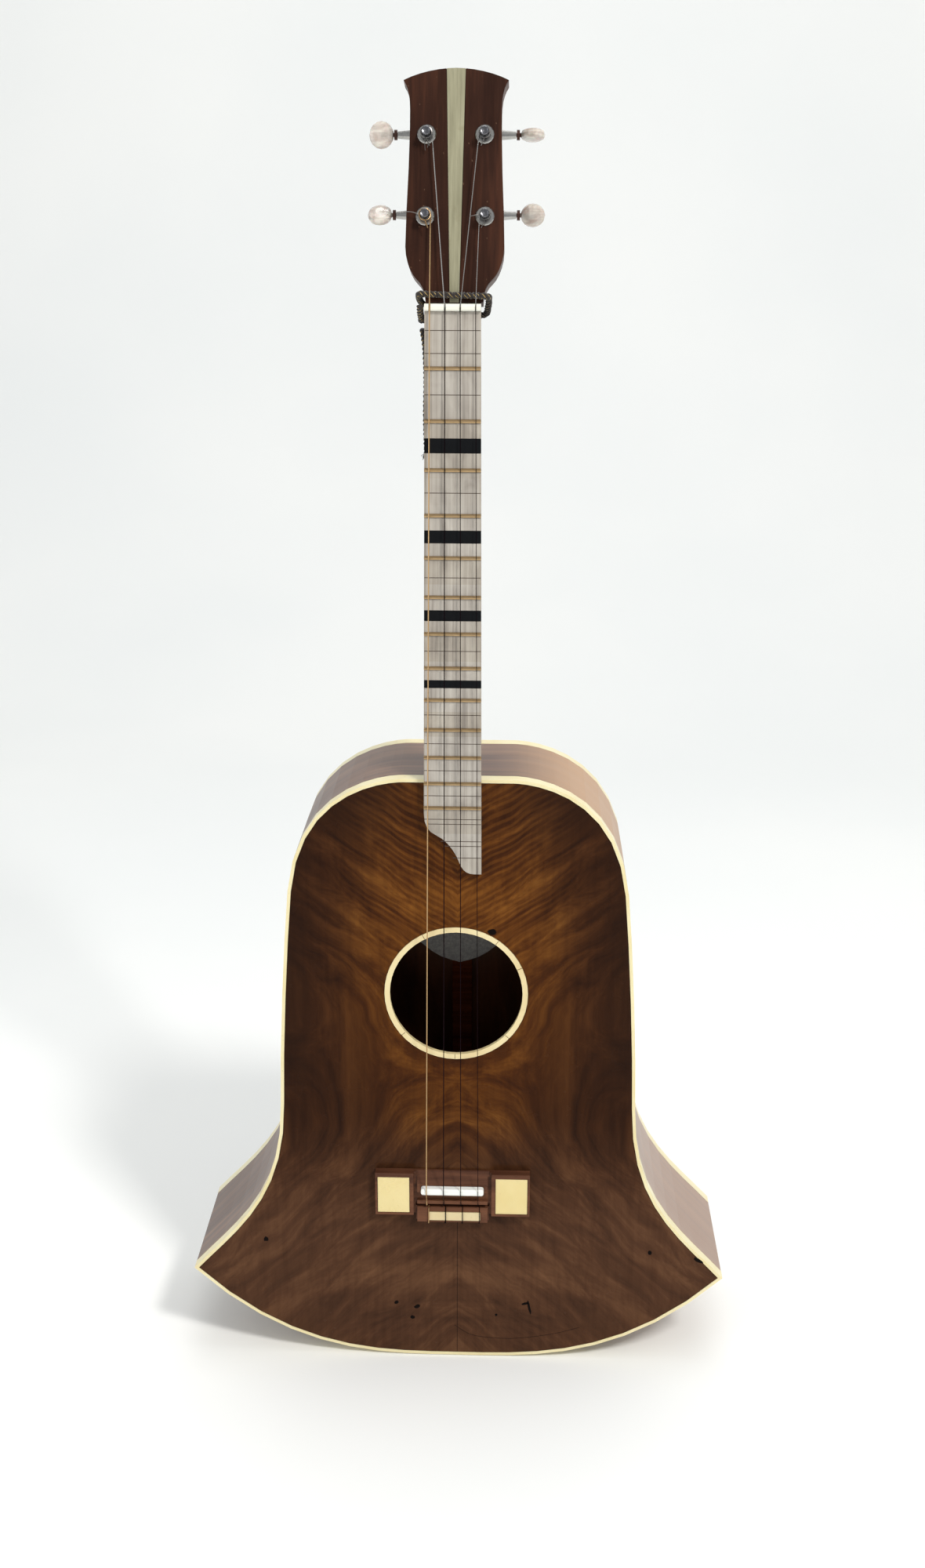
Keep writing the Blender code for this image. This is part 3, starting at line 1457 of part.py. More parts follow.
def build():
    line = empty("body_line", (BODY_X, BOARD_THICK, -BODY_TOP))
    plane = empty("back_face", (0, DEPTH_TOP, 0), (BACK_TILT, 0, 0), line)
    head = empty("head_face", (HEAD_X, HEAD_FACE_Y, HEAD_FOOT_Z), (-HEAD_ANGLE, 0, 0))
    seat = empty("bridge_seat", (0, BOARD_THICK, SADDLE_Z))

    cream = material("cream_binding", (0.83, 0.74, 0.45), 0.35)
    soundboard(line, wood("figured_walnut", (0.10, 0.045, 0.018), 0.3))
    soundhole_ring(line, material("cream_ring", (0.85, 0.76, 0.50), 0.35))
    back_plate(line, wood("back_walnut", (0.12, 0.055, 0.025)))
    binding("binding_front", line, cream, 0, BINDING_DEEP)
    binding("binding_back", line, cream, lambda z: back_at(z) - BINDING_DEEP, back_at)
    side_look = wood("rib_walnut", (0.20, 0.11, 0.075), 0.35)
    side_rib("side_bass", line, side_look, -1)
    side_rib("side_treble", line, side_look, 1)
    side_bottom(line, side_look)
    neck_block(line, wood("block_poplar", (0.45, 0.33, 0.2), 0.7))
    top_bracing(line, wood("brace_spruce", (0.55, 0.42, 0.26), 0.7))
    back_bracing(plane, wood("strip_cedar", (0.35, 0.14, 0.07), 0.7))

    neck(head, wood("neck_walnut", (0.09, 0.04, 0.025), 0.35))
    head_veneer(head, wood("head_walnut", (0.07, 0.025, 0.015), 0.35))
    head_stripe(head, material("pale_stripe", (0.50, 0.50, 0.32), 0.35))
    fingerboard(material("board_tiles", (0.55, 0.53, 0.49), 0.3))
    band_look = material("black_band", (0.01, 0.01, 0.012), 0.35)
    for number in BAND_LENGTHS:
        position_band(number, band_look)
    fret_look = material("fret_brass", (0.60, 0.42, 0.18), 0.3, 1.0)
    for number in range(1, FRET_COUNT + 1):
        fret(number, fret_look)
    nut(material("nut_bone", (0.85, 0.84, 0.78), 0.35))

    bridge(seat, wood("bridge_walnut", (0.13, 0.06, 0.035), 0.45))
    inlay_look = material("cream_inlay", (0.85, 0.72, 0.42), 0.35)
    bridge_inlay("bridge_inlay_bass", -1, seat, inlay_look)
    bridge_inlay("bridge_inlay_treble", 1, seat, inlay_look)
    saddle(seat, material("saddle_bone", (0.9, 0.9, 0.86), 0.35))
    tie_bar(seat, material("cream_bar", (0.82, 0.72, 0.47), 0.35))

    looks = {
        "chrome": material("tuner_chrome", (0.62, 0.62, 0.62), 0.2, 1.0),
        "post": material("post_chrome", (0.55, 0.55, 0.56), 0.25, 1.0),
        "worm": material("worm_steel", (0.30, 0.22, 0.19), 0.4, 1.0),
        "pearl": material("button_pearl", (0.78, 0.72, 0.66), 0.25),
    }
    meshes = {
        "post": post_mesh(),
        "worm": worm_mesh(),
        "button": button_mesh(),
        "housing": {1: housing_mesh(1), -1: housing_mesh(-1)},
    }
    for number, (side, high, off, turn) in enumerate(POSTS, 1):
        turn_out = 0 if side > 0 else math.pi
        place = empty(
            f"tuner_{number}_seat", (side * off, 0, high), (math.pi / 2, 0, turn_out), head
        )
        tuner(number, place, side, turn, meshes, looks)

    steel = material("string_steel", (0.55, 0.53, 0.50), 0.3, 1.0)
    bronze = material("string_bronze", (0.62, 0.45, 0.28), 0.35, 1.0)
    for number in range(1, 5):
        string(number, bronze if number == 1 else steel)

    cord_look = material("dark_cord", (0.03, 0.022, 0.02), 0.8)
    strap_cord("strap_cord_wrap", wrap_points(), cord_look)
    strap_cord("strap_cord_tail", tail_points(), cord_look)
    print(f"cord wrap: least gap to itself {nearest_gap(wrap_points(), CORD_RADIUS, 8) * 1000:.2f} mm")
    for number, radius in enumerate(STRING_RADII, 1):
        gap = nearest_gap(coil_points(number)[1:], radius, 12)
        print(f"string {number}: least gap of its coil to itself {gap * 1000:.2f} mm")


build()
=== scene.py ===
"""Dresses the bell-shaped tenor guitar: materials, small pieces, cord, light and camera."""

import math
import random

import bmesh
import bpy
from mathutils import Matrix, Vector
from mathutils.geometry import interpolate_bezier


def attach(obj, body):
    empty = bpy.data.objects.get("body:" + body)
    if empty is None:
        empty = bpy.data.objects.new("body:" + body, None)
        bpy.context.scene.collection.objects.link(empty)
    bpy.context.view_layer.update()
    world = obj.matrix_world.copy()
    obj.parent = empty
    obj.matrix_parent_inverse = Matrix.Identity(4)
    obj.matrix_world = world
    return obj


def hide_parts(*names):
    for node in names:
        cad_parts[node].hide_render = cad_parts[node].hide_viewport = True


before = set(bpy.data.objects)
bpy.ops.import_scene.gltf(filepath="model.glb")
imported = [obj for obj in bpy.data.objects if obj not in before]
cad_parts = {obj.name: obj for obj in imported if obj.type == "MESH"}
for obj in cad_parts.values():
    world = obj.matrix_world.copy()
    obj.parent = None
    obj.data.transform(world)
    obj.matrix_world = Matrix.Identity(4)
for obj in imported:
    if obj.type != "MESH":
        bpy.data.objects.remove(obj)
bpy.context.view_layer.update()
BODY = "guitar"

# Body, in metres in the shared frame
BODY_X = 0.0032  # of its middle
BODY_TOP_Z = -0.2912
TOP_Y = 0.0060  # the soundboard's face
HOLE = (0.0022, -0.4416)
RING_OUTER = 0.0480
RING_INNER = 0.0444
BACK_SLOPE = 0.0507
BACK_Y = 0.0969  # outer face of the back at the body's top
BACK_THICK = 0.0030
LABEL_LIFT = 0.0031  # over the back's inner face, clear of its centre strip
LABEL_THICK = 0.0003
PROUD = 0.00006  # how far thin dark lines stand out of the face they mark
JOINT_TURNS = (118.0, 54.0, 24.0, -42.0, -140.0, -91.0)  # round the ring, in degrees
JOINT_WIDE = 0.00028
JOINT_DEEP = 0.0010
PIT_SCALE = 1.15
PIT_SIDES = 11
PIT_RAGGED = 0.22
PIT_PROUD = 0.00008
PIT_DEEP = 0.0010

# Fingerboard
NUT_WIDTH = 0.0334
WIDENING = 0.0115  # width gained per length, away from the nut
SCALE_LENGTH = 0.5842
FRET_COUNT = 13
BAND_FRETS = (3, 5, 7, 9)
SEAM_WIDE = 0.00042
SEAM_DEEP = 0.0004
SEAM_INSET = 0.0002  # from the fingerboard's edges
FIRST_SEAMS = (0.66, 1.47)  # in the first fret space, as shares of its middle
END_SEAMS = (0.3195, 0.3345, 0.3425)  # below the nut, where the board's end is cut back
CUT_FROM = 0.3130
CUT_MIDDLE = 0.3272
CUT_X = -0.0105  # a seam's bass end at CUT_MIDDLE
CUT_LEAN = 0.7

# Headstock
HEAD_FOOT = Vector((0.0008, 0.0044, 0.00507))
HEAD_FRAME = Matrix.Translation(HEAD_FOOT) @ Matrix.Rotation(-math.radians(13.0), 4, "X")
POSTS = ((-0.0176, 0.0496), (-0.0170, 0.0964), (0.0170, 0.0964), (0.0176, 0.0496))
SCREW_BELOW = 0.00895  # a lug's screw below its post
LUG_FACE = 0.0178
SCREW_CONES = (  # radius at the start, radius at the end, start, end
    (0.0019, 0.0012, 0.0, 0.0011), (0.0009, 0.0009, -0.006, 0.0003),
)
COLLAR_IN = 0.0353  # a collar's two faces, from the head's middle
COLLAR_OUT = 0.0385

# Cord, along the same points as its solids
CORD_RADIUS = 0.0021
CORD_SIDES = 18
YARNS = 3
LOBE_DEPTH = 0.13  # share of the radius
TWIST_PITCH = 0.0085
THREADS = 16  # loose ones at the tail's end
WRAP_ROUTE = (
    (-0.0186, 0.0205, 0.0030), (-0.0200, 0.0125, 0.0060), (-0.0200, 0.0042, 0.0092),
    (-0.0178, 0.0030, 0.0098), (0.0, 0.0028, 0.0092), (0.0190, 0.0028, 0.0086),
    (0.0210, 0.0064, 0.0066), (0.0206, 0.0130, 0.0020), (0.0178, 0.0220, -0.0030),
    (0.0, 0.0245, -0.0050), (-0.0178, 0.0220, -0.0062), (-0.0190, 0.0140, -0.0050),
    (-0.0194, 0.0065, -0.0012), (-0.0194, 0.0018, 0.0026),
)
TAIL_ROUTE = (
    (-0.0186, 0.0150, -0.0110), (-0.0172, 0.0180, -0.0220), (-0.0166, 0.0190, -0.0400),
    (-0.0170, 0.0192, -0.0620), (-0.0166, 0.0196, -0.0850),
)

# Photograph's camera, and the stage
CAMERA_AT = Vector((0.04166, -1.08199, 0.05702))
CAMERA_PITCH = -0.312
CAMERA_YAW = -0.0326
CAMERA_ROLL = 0.002
FOCAL_SHARE = 2270.7 / 2000  # focal length over the picture's height
FLOOR_Z = -0.7242
FLOOR_FRONT = -2.6
FLOOR_HALF = 5.0
WALL_HIGH = 4.0
SWEEP_START = 1.4  # where the floor starts to rise, behind the object
SWEEP_RADIUS = 1.2
SWEEP_STEPS = 16

random.seed(7)


# Node graphs


class Wire:
    """A number or vector in a material's graph, which takes part in ordinary sums."""

    def __init__(self, graph, socket):
        self.graph = graph
        self.socket = socket

    def __add__(self, other):
        return self.graph.math("ADD", self, other)

    def __sub__(self, other):
        return self.graph.math("SUBTRACT", self, other)

    def __rsub__(self, other):
        return self.graph.math("SUBTRACT", other, self)

    def __mul__(self, other):
        return self.graph.math("MULTIPLY", self, other)

    def __rmul__(self, other):
        return self.graph.math("MULTIPLY", self, other)

    def __abs__(self):
        return self.graph.math("ABSOLUTE", self)

    def __pow__(self, other):
        return self.graph.math("POWER", self, other)


class Graph:
    """A material with one Principled shader."""

    def __init__(self, name, **shader):
        self.material = bpy.data.materials.new(name)
        self.material.use_nodes = True
        self.tree = self.material.node_tree
        self.shader = self.tree.nodes["Principled BSDF"]
        for key, value in shader.items():
            self.shader.inputs[key.replace("_", " ")].default_value = value
        place = self.tree.nodes.new("ShaderNodeTexCoord").outputs["Object"]
        self.place = Wire(self, place)
        split = self.tree.nodes.new("ShaderNodeSeparateXYZ")
        self.tree.links.new(place, split.inputs[0])
        self.x, self.y, self.z = (Wire(self, out) for out in split.outputs)

    def feed(self, socket, value):
        """Links a wire to a socket, or sets the socket to a plain value."""
        if isinstance(value, Wire):
            self.tree.links.new(value.socket, socket)
        elif hasattr(socket.default_value, "__len__") and len(socket.default_value) == 4:
            socket.default_value = (*value[:3], 1.0)
        else:
            socket.default_value = value

    def math(self, operation, a, b=None):
        node = self.tree.nodes.new("ShaderNodeMath")
        node.operation = operation
        self.feed(node.inputs[0], a)
        if b is not None:
            self.feed(node.inputs[1], b)
        return Wire(self, node.outputs[0])

    def vector(self, x, y, z):
        node = self.tree.nodes.new("ShaderNodeCombineXYZ")
        for socket, value in zip(node.inputs, (x, y, z)):
            self.feed(socket, value)
        return Wire(self, node.outputs[0])

    def noise(self, vector, scale, detail=3.0, rough=0.5, distortion=0.0):
        node = self.tree.nodes.new("ShaderNodeTexNoise")
        self.feed(node.inputs["Vector"], vector)
        for key, value in (
            ("Scale", scale), ("Detail", detail), ("Roughness", rough), ("Distortion", distortion),
        ):
            node.inputs[key].default_value = value
        return Wire(self, node.outputs["Fac"])

    def bands(self, vector, scale, distortion, detail):
        """Stripes across the vector's first axis."""
        node = self.tree.nodes.new("ShaderNodeTexWave")
        self.feed(node.inputs["Vector"], vector)
        for key, value in (
            ("Scale", scale), ("Distortion", distortion), ("Detail", detail), ("Detail Scale", 1.5),
        ):
            node.inputs[key].default_value = value
        return Wire(self, node.outputs["Fac"])

    def step(self, value, low, high):
        """0 at low and 1 at high, smooth between, with low above high for a fall."""
        node = self.tree.nodes.new("ShaderNodeMapRange")
        node.interpolation_type = "SMOOTHSTEP"
        self.feed(node.inputs["Value"], value)
        node.inputs["From Min"].default_value = low
        node.inputs["From Max"].default_value = high
        return Wire(self, node.outputs["Result"])

    def ramp(self, value, *stops):
        node = self.tree.nodes.new("ShaderNodeValToRGB")
        self.feed(node.inputs["Fac"], value)
        items = node.color_ramp.elements  # two at first
        while len(items) < len(stops):
            items.new(0.5)
        for item, (at, colour) in zip(items, stops):
            item.position = at
            item.color = (*colour, 1.0)
        return Wire(self, node.outputs["Color"])

    def mix(self, share, a, b, blend="MIX"):
        node = self.tree.nodes.new("ShaderNodeMix")
        node.data_type = "RGBA"
        node.blend_type = blend
        self.feed(node.inputs[0], share)
        self.feed(node.inputs[6], a)
        self.feed(node.inputs[7], b)
        return Wire(self, node.outputs[2])

    def done(self, colour, roughness, height=None, strength=0.3, distance=0.0003):
        """Feeds the shader, with a bump from height, and gives back the material."""
        self.feed(self.shader.inputs["Base Color"], colour)
        self.feed(self.shader.inputs["Roughness"], roughness)
        if height is not None:
            bump = self.tree.nodes.new("ShaderNodeBump")
            bump.inputs["Strength"].default_value = strength
            bump.inputs["Distance"].default_value = distance
            self.feed(bump.inputs["Height"], height)
            self.tree.links.new(bump.outputs["Normal"], self.shader.inputs["Normal"])
        return self.material


def srgb(red, green, blue):
    """Linear light for a colour as a screen shows it, in 0 to 255."""
    made = []
    for value in (red, green, blue):
        share = value / 255
        made.append(share / 12.92 if share <= 0.04045 else ((share + 0.055) / 1.055) ** 2.4)
    return tuple(made)


# Materials


def soundboard_look():
    """Bookmatched crotch walnut under a dark-edged amber lacquer."""
    g = Graph("figured_walnut", Specular_IOR_Level=0.06)
    u = abs(g.x - BODY_X)
    v = g.z - HOLE[1]
    slow = g.noise(g.vector(u, 0.0, v), 9.0, 3.0) - 0.5
    lean = 0.9 - 1.6 * g.step(v, -0.14, 0.03)
    fan = v + u * lean + slow * 0.04
    flames = g.noise(g.vector(u * 16.0, 0.0, fan * 40.0), 1.5, 6.0, 0.66, 0.6)
    curl = g.bands(g.vector(fan, 0.0, 0.0), 62.0, 4.0, 3.0)
    fibre = g.noise(g.vector(u * 260.0, 0.0, v * 22.0), 1.0, 4.0, 0.6)
    arch = (u * u + (v + 0.42) ** 2.0) ** 0.5
    rings = g.noise(g.vector(arch * 40.0, 0.0, u * 9.0), 1.0, 4.0, 0.55, 0.8)
    low = g.step(v, -0.11, -0.20)
    figure = g.mix(low * 0.45, flames, rings)
    amber = g.ramp(
        figure, (0.30, srgb(50, 23, 6)), (0.45, srgb(74, 38, 10)), (0.60, srgb(106, 62, 20)),
        (0.75, srgb(140, 90, 34)),
    )
    brown = g.ramp(
        figure, (0.30, srgb(36, 17, 7)), (0.50, srgb(55, 29, 12)), (0.72, srgb(78, 45, 21)),
    )
    lower = g.ramp(
        figure, (0.32, srgb(54, 34, 23)), (0.50, srgb(80, 52, 35)), (0.70, srgb(110, 76, 52)),
    )
    reach = (u * u * 1.3 + (v - 0.02) * (v - 0.02) * 0.30) ** 0.5 + slow * 0.03
    colour = g.mix(g.step(reach, 0.035, 0.110), amber, brown)
    colour = g.mix(g.step(v, -0.08, -0.19), colour, lower)
    stripes = g.step(curl, 0.30, 0.90) * g.step(v, -0.02, 0.07) * g.step(u, 0.090, 0.025)
    colour = g.mix(stripes * 0.14, colour, srgb(150, 92, 34), "SCREEN")
    colour = g.mix(g.step(fibre, 0.35, 0.75) * 0.22, colour, srgb(120, 90, 70), "MULTIPLY")
    rim = g.step(u, 0.085, 0.118) * g.step(v, -0.12, -0.04)
    colour = g.mix(rim * 0.55, colour, srgb(30, 16, 9))
    crown = g.step(v, 0.090, 0.150) * g.step(u, 0.02, 0.07)
    colour = g.mix(crown * 0.6, colour, srgb(34, 18, 10))
    seam = g.step(u, 0.00040, 0.00012) * g.step(v, -0.135, -0.150)
    colour = g.mix(seam * 0.7, colour, srgb(28, 17, 12))
    height = fibre + g.noise(g.place, 900.0, 2.0) * 0.3
    return g.done(colour, g.noise(g.place, 60.0) * 0.16 + 0.17, height, 0.12, 0.0002)


def rib_look():
    """Grey-brown walnut with its grain along the rib, and painted highlights on the treble shoulder
    and flare.
    """
    g = Graph("rib_walnut", Specular_IOR_Level=0.35)
    run = g.x * 4.0 + g.z * 3.0
    grain = g.noise(g.vector(run * 1.4, g.y * 190.0, run * 0.6), 1.0, 5.0, 0.62, 0.3)
    broad = g.noise(g.vector(run * 0.8, g.y * 38.0, 0.0), 1.0, 3.0, 0.5, 0.6)
    colour = g.ramp(
        grain * 0.55 + broad * 0.45, (0.34, srgb(66, 44, 36)), (0.50, srgb(104, 76, 62)),
        (0.64, srgb(134, 104, 84)),
    )
    # painted highlight: the treble shoulder's rib is lightened to a warm pale brown where the light
    # falls on it
    painted_shoulder_highlight = g.step(g.x, 0.02, 0.09) * g.step(g.z, -0.42, -0.33)
    colour = g.mix(painted_shoulder_highlight * 0.7, colour, srgb(204, 162, 122))
    # painted highlight: the rib at the treble flare is lightened where it catches the light
    painted_flare_highlight = g.step(g.x, 0.09, 0.14) * g.step(g.z, -0.53, -0.58)
    colour = g.mix(painted_flare_highlight * 0.5, colour, srgb(196, 168, 150))
    return g.done(colour, grain * 0.2 + 0.24, grain, 0.2, 0.0002)


def plain_wood(name, dark, light, roughness=0.4, along="z", gloss=0.25, fineness=1.0):
    """Straight-grained wood with dark pores, its grain along one axis."""
    g = Graph(name, Specular_IOR_Level=gloss)
    run, deep, wide = {"x": (g.x, g.y, g.z), "z": (g.z, g.y, g.x)}[along]
    grain = g.noise(
        g.vector(run * 14.0, deep * 200.0 * fineness, wide * 260.0 * fineness),
        1.0, 5.0, 0.6, 0.35,
    )
    broad = g.noise(
        g.vector(run * 5.0, deep * 30.0, wide * 46.0 * fineness), 1.0, 3.0, 0.5, 0.7
    )
    pores = g.noise(g.vector(run * 90.0, deep * 1500.0, wide * 1700.0), 1.0, 2.0)
    colour = g.mix(g.step(grain * 0.5 + broad * 0.5, 0.33, 0.68), dark, light)
    colour = g.mix(g.step(pores, 0.60, 0.75) * 0.35, colour, tuple(c * 0.3 for c in dark))
    return g.done(colour, broad * 0.2 + roughness - 0.1, grain + pores * 0.5, 0.2, 0.0002)


def head_look():
    """Dark mahogany-brown veneer, worn and dusty in small marks."""
    g = Graph("head_veneer", Specular_IOR_Level=0.1)
    grain = g.noise(g.vector(g.x * 300.0, 0.0, g.z * 20.0), 1.0, 5.0, 0.6, 0.3)
    broad = g.noise(g.vector(g.x * 60.0, 0.0, g.z * 9.0), 1.0, 3.0, 0.5, 0.5)
    colour = g.ramp(
        grain * 0.45 + broad * 0.55, (0.33, srgb(34, 17, 11)), (0.50, srgb(50, 28, 19)),
        (0.66, srgb(70, 40, 27)),
    )
    specks = g.step(g.noise(g.vector(g.x * 420.0, 0.0, g.z * 300.0), 1.0, 1.0), 0.72, 0.80)
    colour = g.mix(specks * 0.5, colour, srgb(120, 92, 72))
    return g.done(colour, broad * 0.2 + 0.28, grain + specks * 0.3, 0.25, 0.0002)


def stripe_look():
    """Greenish cream wood, smudged here and there."""
    g = Graph("pale_stripe", Specular_IOR_Level=0.2)
    grain = g.noise(g.vector(g.x * 500.0, 0.0, g.z * 26.0), 1.0, 4.0, 0.6)
    colour = g.ramp(grain, (0.3, srgb(128, 124, 100)), (0.7, srgb(160, 156, 130)))
    smudge = g.step(g.noise(g.place, 90.0, 3.0), 0.60, 0.72)
    return g.done(g.mix(smudge * 0.3, colour, srgb(120, 112, 84)), 0.36, grain, 0.1, 0.0001)


def binding_look(name, base, stain, roughness=0.3):
    """Aged cream plastic, slightly mottled, darker in small stains."""
    g = Graph(name, Coat_Weight=0.2, Subsurface_Weight=0.05)
    soft = g.noise(g.place, 26.0, 3.0, 0.6)
    fine = g.noise(g.place, 420.0, 3.0, 0.6)
    colour = g.mix(g.step(soft, 0.35, 0.72) * 0.45, base, stain)
    colour = g.mix(g.step(fine, 0.66, 0.76) * 0.35, colour, tuple(c * 0.55 for c in stain))
    return g.done(colour, soft * 0.15 + roughness - 0.06, fine, 0.12, 0.0001)


def tile_look():
    """Grey-white tiles, each a little different, with streaks along the neck."""
    g = Graph("board_tiles", Coat_Weight=0.3, Coat_Roughness=0.1)
    streak = g.noise(g.vector(g.x * 330.0, 0.0, g.z * 6.0), 1.0, 5.0, 0.62, 0.5)
    cloud = g.noise(g.vector(g.x * 60.0, 0.0, g.z * 34.0), 1.0, 3.0, 0.5, 0.8)
    tile = g.noise(g.vector(g.math("SNAP", g.z, 0.0163) * 91.0, 3.0, 1.0), 1.0, 0.0)
    colour = g.ramp(
        streak * 0.6 + cloud * 0.4, (0.34, srgb(128, 120, 112)), (0.48, srgb(168, 160, 150)),
        (0.66, srgb(196, 189, 178)),
    )
    colour = g.mix(g.step(tile, 0.45, 0.62) * 0.35, colour, srgb(214, 204, 184), "MULTIPLY")
    edge = g.step(abs(g.x) * 2.0 + g.z * WIDENING, NUT_WIDTH - 0.0022, NUT_WIDTH)
    colour = g.mix(edge * 0.35, colour, srgb(150, 132, 110))
    return g.done(colour, streak * 0.16 + 0.16, streak, 0.08, 0.0001)


def metal_look(name, colour, roughness):
    """Worn metal, smeared and finely spotted."""
    g = Graph(name, Metallic=1.0)
    smear = g.noise(g.place, 240.0, 3.0, 0.6)
    spots = g.step(g.noise(g.place, 1300.0, 2.0), 0.64, 0.74)
    tint = g.mix(g.step(smear, 0.4, 0.7) * 0.3, colour, tuple(c * 0.6 for c in colour))
    tint = g.mix(spots * 0.3, tint, tuple(c * 0.35 for c in colour))
    return g.done(tint, smear * 0.2 + roughness - 0.08, smear, 0.08, 0.0001)


def worm_look():
    """Steel shaft and worm, with a reddish collar outside the sleeve."""
    g = Graph("worm_steel", Metallic=1.0)
    out = abs(g.x - HEAD_FOOT.x)
    edge = 0.0001
    inner = g.step(out, COLLAR_IN - edge, COLLAR_IN + edge)
    outer = g.step(out, COLLAR_OUT + edge, COLLAR_OUT - edge)
    collar = inner * outer
    wear = g.noise(g.place, 700.0, 3.0, 0.6)
    colour = g.mix(collar, srgb(168, 160, 150), srgb(84, 62, 56))
    colour = g.mix(g.step(wear, 0.5, 0.7) * 0.4, colour, srgb(70, 56, 48))
    return g.done(colour, wear * 0.2 + 0.3, wear, 0.1, 0.0001)


def pearl_look():
    """Grey-pink pearloid with soft swirled bands."""
    g = Graph("button_pearl", Coat_Weight=0.6, Coat_Roughness=0.06, Subsurface_Weight=0.1)
    swirl = g.noise(g.place, 120.0, 3.0, 0.5, 1.6)
    layers = g.noise(g.vector(g.x * 60.0, g.y * 60.0, g.z * 500.0), 1.0, 3.0, 0.5, 1.0)
    colour = g.ramp(
        swirl * 0.6 + layers * 0.4, (0.34, srgb(172, 160, 150)), (0.50, srgb(198, 188, 178)),
        (0.64, srgb(220, 213, 202)),
    )
    return g.done(colour, swirl * 0.12 + 0.1, swirl, 0.05, 0.0001)


def bone_look(name, base):
    """Bone with fine pores along it."""
    g = Graph(name, Subsurface_Weight=0.05)
    pores = g.noise(g.vector(g.x * 40.0, g.y * 400.0, g.z * 400.0), 1.0, 4.0, 0.6)
    soft = g.noise(g.place, 150.0, 2.0)
    colour = g.mix(g.step(pores, 0.55, 0.75) * 0.3, base, tuple(c * 0.7 for c in base))
    return g.done(colour, soft * 0.15 + 0.24, pores, 0.1, 0.0001)


def string_look(name, colour, wound):
    """A wound string, or a plain one with painted shade: near-black below the nut."""
    g = Graph(name, Metallic=1.0)
    winding = g.bands(g.vector(g.z, g.y, g.x), 900.0 if wound else 300.0, 0.2, 0.0)
    tint = g.mix(winding * 0.5, colour, tuple(c * 0.35 for c in colour))
    if not wound:
        # painted shade: below the nut the plain string is near-black, standing in for the string
        # and its shadow seen as one dark line
        tint = g.mix(g.step(g.z, 0.004, 0.001), tint, srgb(24, 14, 18))
    return g.done(tint, 0.28, winding, 0.5 if wound else 0.05, 0.0001)


def yarn_look(name, dark, light):
    """Fuzzy thread."""
    g = Graph(name, Sheen_Weight=0.25, Sheen_Roughness=0.5)
    thread = g.noise(g.place, 2400.0, 3.0, 0.7)
    colour = g.mix(g.step(thread, 0.35, 0.70), dark, light)
    return g.done(colour, 0.82, thread, 0.8, 0.0003)


def dull_look(name, colour):
    """Dark and matt, with faint paler marks."""
    g = Graph(name, Specular_IOR_Level=0.05)
    marks = g.noise(g.vector(g.x * 90.0, 0.0, g.z * 500.0), 1.0, 4.0)
    paler = tuple(c * 1.6 for c in colour)
    return g.done(g.mix(g.step(marks, 0.5, 0.8) * 0.4, colour, paler), marks * 0.2 + 0.4)


def paper_look():
    """Grey fibrous paper."""
    g = Graph("label_paper")
    fibre = g.noise(g.place, 500.0, 4.0, 0.7)
    colour = g.mix(g.step(fibre, 0.35, 0.7), srgb(150, 146, 142), srgb(182, 178, 172))
    return g.done(colour, 0.7, fibre, 0.3, 0.0001)


def dress_nodes():
    """Gives every CAD node its material."""
    cream = binding_look("cream_binding", srgb(236, 222, 176), srgb(220, 196, 132))
    inlay = binding_look("cream_inlay", srgb(234, 212, 152), srgb(222, 194, 122), 0.26)
    ring = binding_look("cream_ring", srgb(234, 214, 164), srgb(206, 172, 112))
    neck = plain_wood("neck_walnut", srgb(52, 28, 18), srgb(88, 52, 34))
    bare = plain_wood("bare_spruce", srgb(150, 112, 70), srgb(190, 150, 100), 0.7, "x", 0.0)
    strip = plain_wood("back_strip", srgb(58, 26, 14), srgb(104, 50, 26), 0.7, "x", 0.0)
    bridge = plain_wood("bridge_walnut", srgb(66, 38, 26), srgb(112, 72, 50), 0.42, "x", 0.15)
    back = plain_wood("back_walnut", srgb(44, 22, 12), srgb(92, 52, 28), 0.4, "z", 0.2, 0.35)
    brass = metal_look("fret_brass", srgb(178, 150, 112), 0.3)
    chrome = metal_look("tuner_chrome", srgb(176, 174, 170), 0.2)
    post = metal_look("post_chrome", srgb(112, 112, 116), 0.25)
    looks = {
        "soundboard": soundboard_look(), "soundhole_ring": ring, "back_plate": back,
        "binding_front": cream, "binding_back": cream, "neck_block": bare, "top_bracing": bare,
        "back_bracing": strip, "neck": neck, "head_veneer": head_look(),
        "head_stripe": stripe_look(), "fingerboard": tile_look(),
        "nut": bone_look("nut_bone", srgb(232, 228, 214)), "bridge": bridge,
        "bridge_inlay_bass": inlay, "bridge_inlay_treble": inlay,
        "saddle": bone_look("saddle_bone", srgb(246, 246, 240)),
        "tie_bar": binding_look("cream_bar", srgb(226, 206, 160), srgb(206, 176, 124)),
    }
    ribs = rib_look()
    for name in ("side_bass", "side_treble", "side_bottom"):
        looks[name] = ribs
    band = dull_look("black_band", srgb(20, 21, 23))
    for number in BAND_FRETS:
        looks[f"position_band_{number}"] = band
    for number in range(1, FRET_COUNT + 1):
        looks[f"fret_{number:02d}"] = brass
    bronze = string_look("string_bronze", srgb(214, 176, 128), True)
    steel = string_look("string_steel", srgb(150, 146, 142), False)
    for number in range(1, 5):
        looks[f"string_{number}"] = bronze if number == 1 else steel
    worm, pearl = worm_look(), pearl_look()
    for number in range(1, 5):
        looks[f"tuner_{number}_housing"] = chrome
        looks[f"tuner_{number}_post"] = post
        looks[f"tuner_{number}_worm"] = worm
        looks[f"tuner_{number}_button"] = pearl
    for name, look in looks.items():
        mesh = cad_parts[name].data
        mesh.materials.clear()
        mesh.materials.append(look)


# Surface pieces


